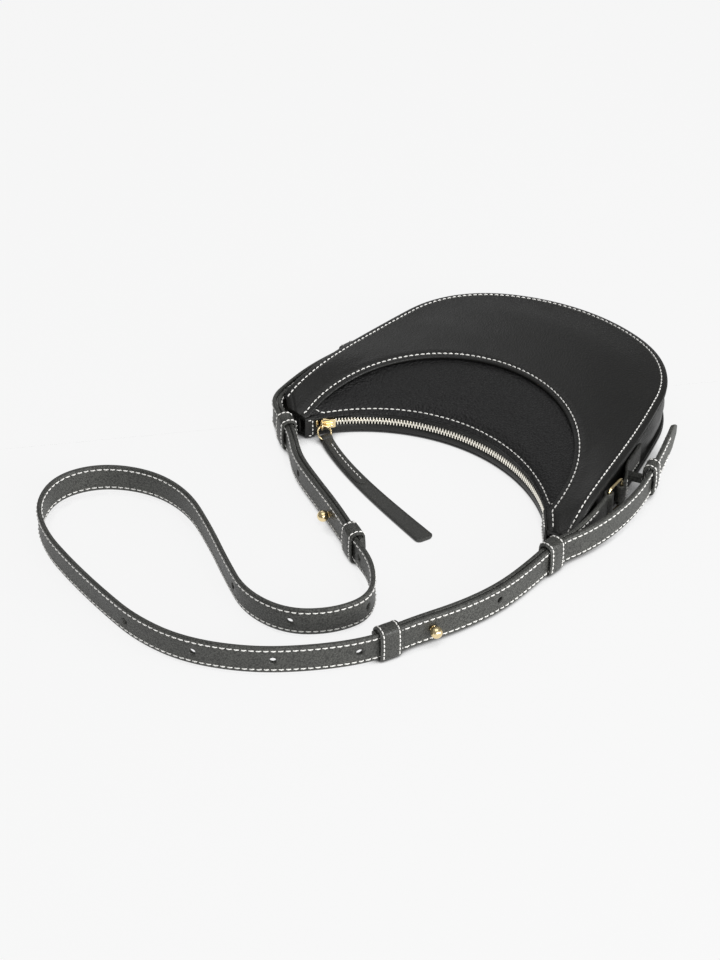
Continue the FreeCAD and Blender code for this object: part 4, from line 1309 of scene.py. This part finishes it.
# Cloth lining under the front, behind the gusset and over the back
POCKET = ((-62, 88), (62, 88), (62, 175), (54, 183), (-54, 183), (-62, 175))
GUSSET_CLOTH_LOW = 3.8
lining_edge = outline(6.6, 120)
lining_mouth = mouth_line(LEFT_MOUTH_END, MOUTH_END, 8, 120)
gusset_cloth_rows = []
for a, b in zip(lining_edge, outline(7.4, 120)):
    top = front_z(a.x, a.y) - 6.2
    low = GUSSET_CLOTH_LOW
    gusset_cloth_rows.append([Vector((p.x, p.y, z)) for p, z in ((a, low), (a, top), (b, top), (b, low))])
front_cloth_rows = panel_rows(lining_mouth, lining_edge, lambda x, y: front_z(x, y) - 5.4, 0.8, 8)
back_cloth_rows = panel_rows(lining_mouth, lining_edge, lambda x, y: 3.6, 1.8, 8)
for name, rows, node_name in (
    ("front", front_cloth_rows, "front_lining"),
    ("back", back_cloth_rows, "back_lining"),
    ("gusset", gusset_cloth_rows, "gusset_lining"),
    ("pocket", [[(x, y, z) for x, y in POCKET] for z in (3.75, 4.5)], "slip_pocket"),
):
    Shape(rows).piece(name + "_cloth", LINING, "bag", "lining_cloth", [node_name], angle=60)


# Floor, light and camera
def pale_floor():
    """Pale ground that the camera sees as an even tone, with painted shade where ambient occlusion darkens
    it close under the object.
    """
    m = bpy.data.materials.new("floor")
    m.use_nodes = True
    tree = m.node_tree
    tree.nodes.clear()
    matte = node(tree, "BsdfDiffuse", {"Color": (0.9, 0.9, 0.9, 1)})
    # Painted shade: ambient occlusion dims the floor's glow in crevices and close under the object
    ao_painted_shade = node(tree, "AmbientOcclusion", {"Distance": 0.03})
    strength = ramp(tree, ao_painted_shade.outputs["AO"], 0.2, 0.5, 0.05, 1.0)
    glow = node(tree, "Emission", {"Color": (0.946, 0.946, 0.946, 1), "Strength": strength})
    rays = node(tree, "LightPath", {}).outputs
    seen = maths(tree, "MAXIMUM", rays["Is Camera Ray"], rays["Is Glossy Ray"])
    share = maths(tree, "MULTIPLY", seen, 0.93)
    mix = node(tree, "MixShader", {"Fac": share, 1: matte.outputs[0], 2: glow.outputs[0]})
    node(tree, "OutputMaterial", {"Surface": mix.outputs[0]})
    return m


# Sizes and places from here on are metres
FLOOR = 60.0
FLOOR_Z = -0.0002
SKY_STRENGTH = 0.26
CAMERA_PLACE = (0.5764, -0.9983, 0.7583)
CAMERA_AIM = (-0.03445, -0.1369, 0)

floor_mesh = bpy.data.meshes.new("floor")
floor_corners = [(x * FLOOR, y * FLOOR, FLOOR_Z) for x, y in ((-1, -1), (1, -1), (1, 1), (-1, 1))]
floor_mesh.from_pydata(floor_corners, [], [(0, 1, 2, 3)])
floor = bpy.data.objects.new("floor", floor_mesh)
floor_mesh.materials.append(pale_floor())
SCENE.collection.objects.link(floor)

world = bpy.data.worlds.new("studio")
SCENE.world = world
world.use_nodes = True
sky = world.node_tree.nodes["Background"]
sky.inputs["Color"].default_value = (1, 1, 1, 1)
sky.inputs["Strength"].default_value = SKY_STRENGTH


def set_up(name, data, where, aim):
    """Adds a light or camera that looks from where to aim."""
    obj = bpy.data.objects.new(name, data)
    obj.location = where
    obj.rotation_euler = (Vector(aim) - Vector(where)).to_track_quat("-Z", "Y").to_euler()
    SCENE.collection.objects.link(obj)
    return obj


def softbox(name, where, aim, size, power):
    light = bpy.data.lights.new(name, "AREA")
    light.shape = "RECTANGLE"
    light.size, light.size_y = size
    light.energy = power
    set_up(name, light, where, aim)


softbox("overhead", (0.2, -0.3, 1.7), (0, -0.1, 0), (1.6, 1.4), 9)
softbox("back_left", (-1.5, 1.2, 1.3), (0, 0, 0), (1.2, 0.9), 4)
softbox("front_fill", (1.6, -1.2, 0.8), (0, -0.1, 0), (1.6, 1.0), 22)
softbox("right_side", (1.9, 0.15, 0.45), (0.1, 0, 0.01), (1.0, 0.5), 22)

camera_data = bpy.data.cameras.new("camera")
camera_data.sensor_width = 36
camera_data.lens = 77.25
SCENE.camera = set_up("camera", camera_data, CAMERA_PLACE, CAMERA_AIM)
SCENE.view_settings.view_transform = "Standard"
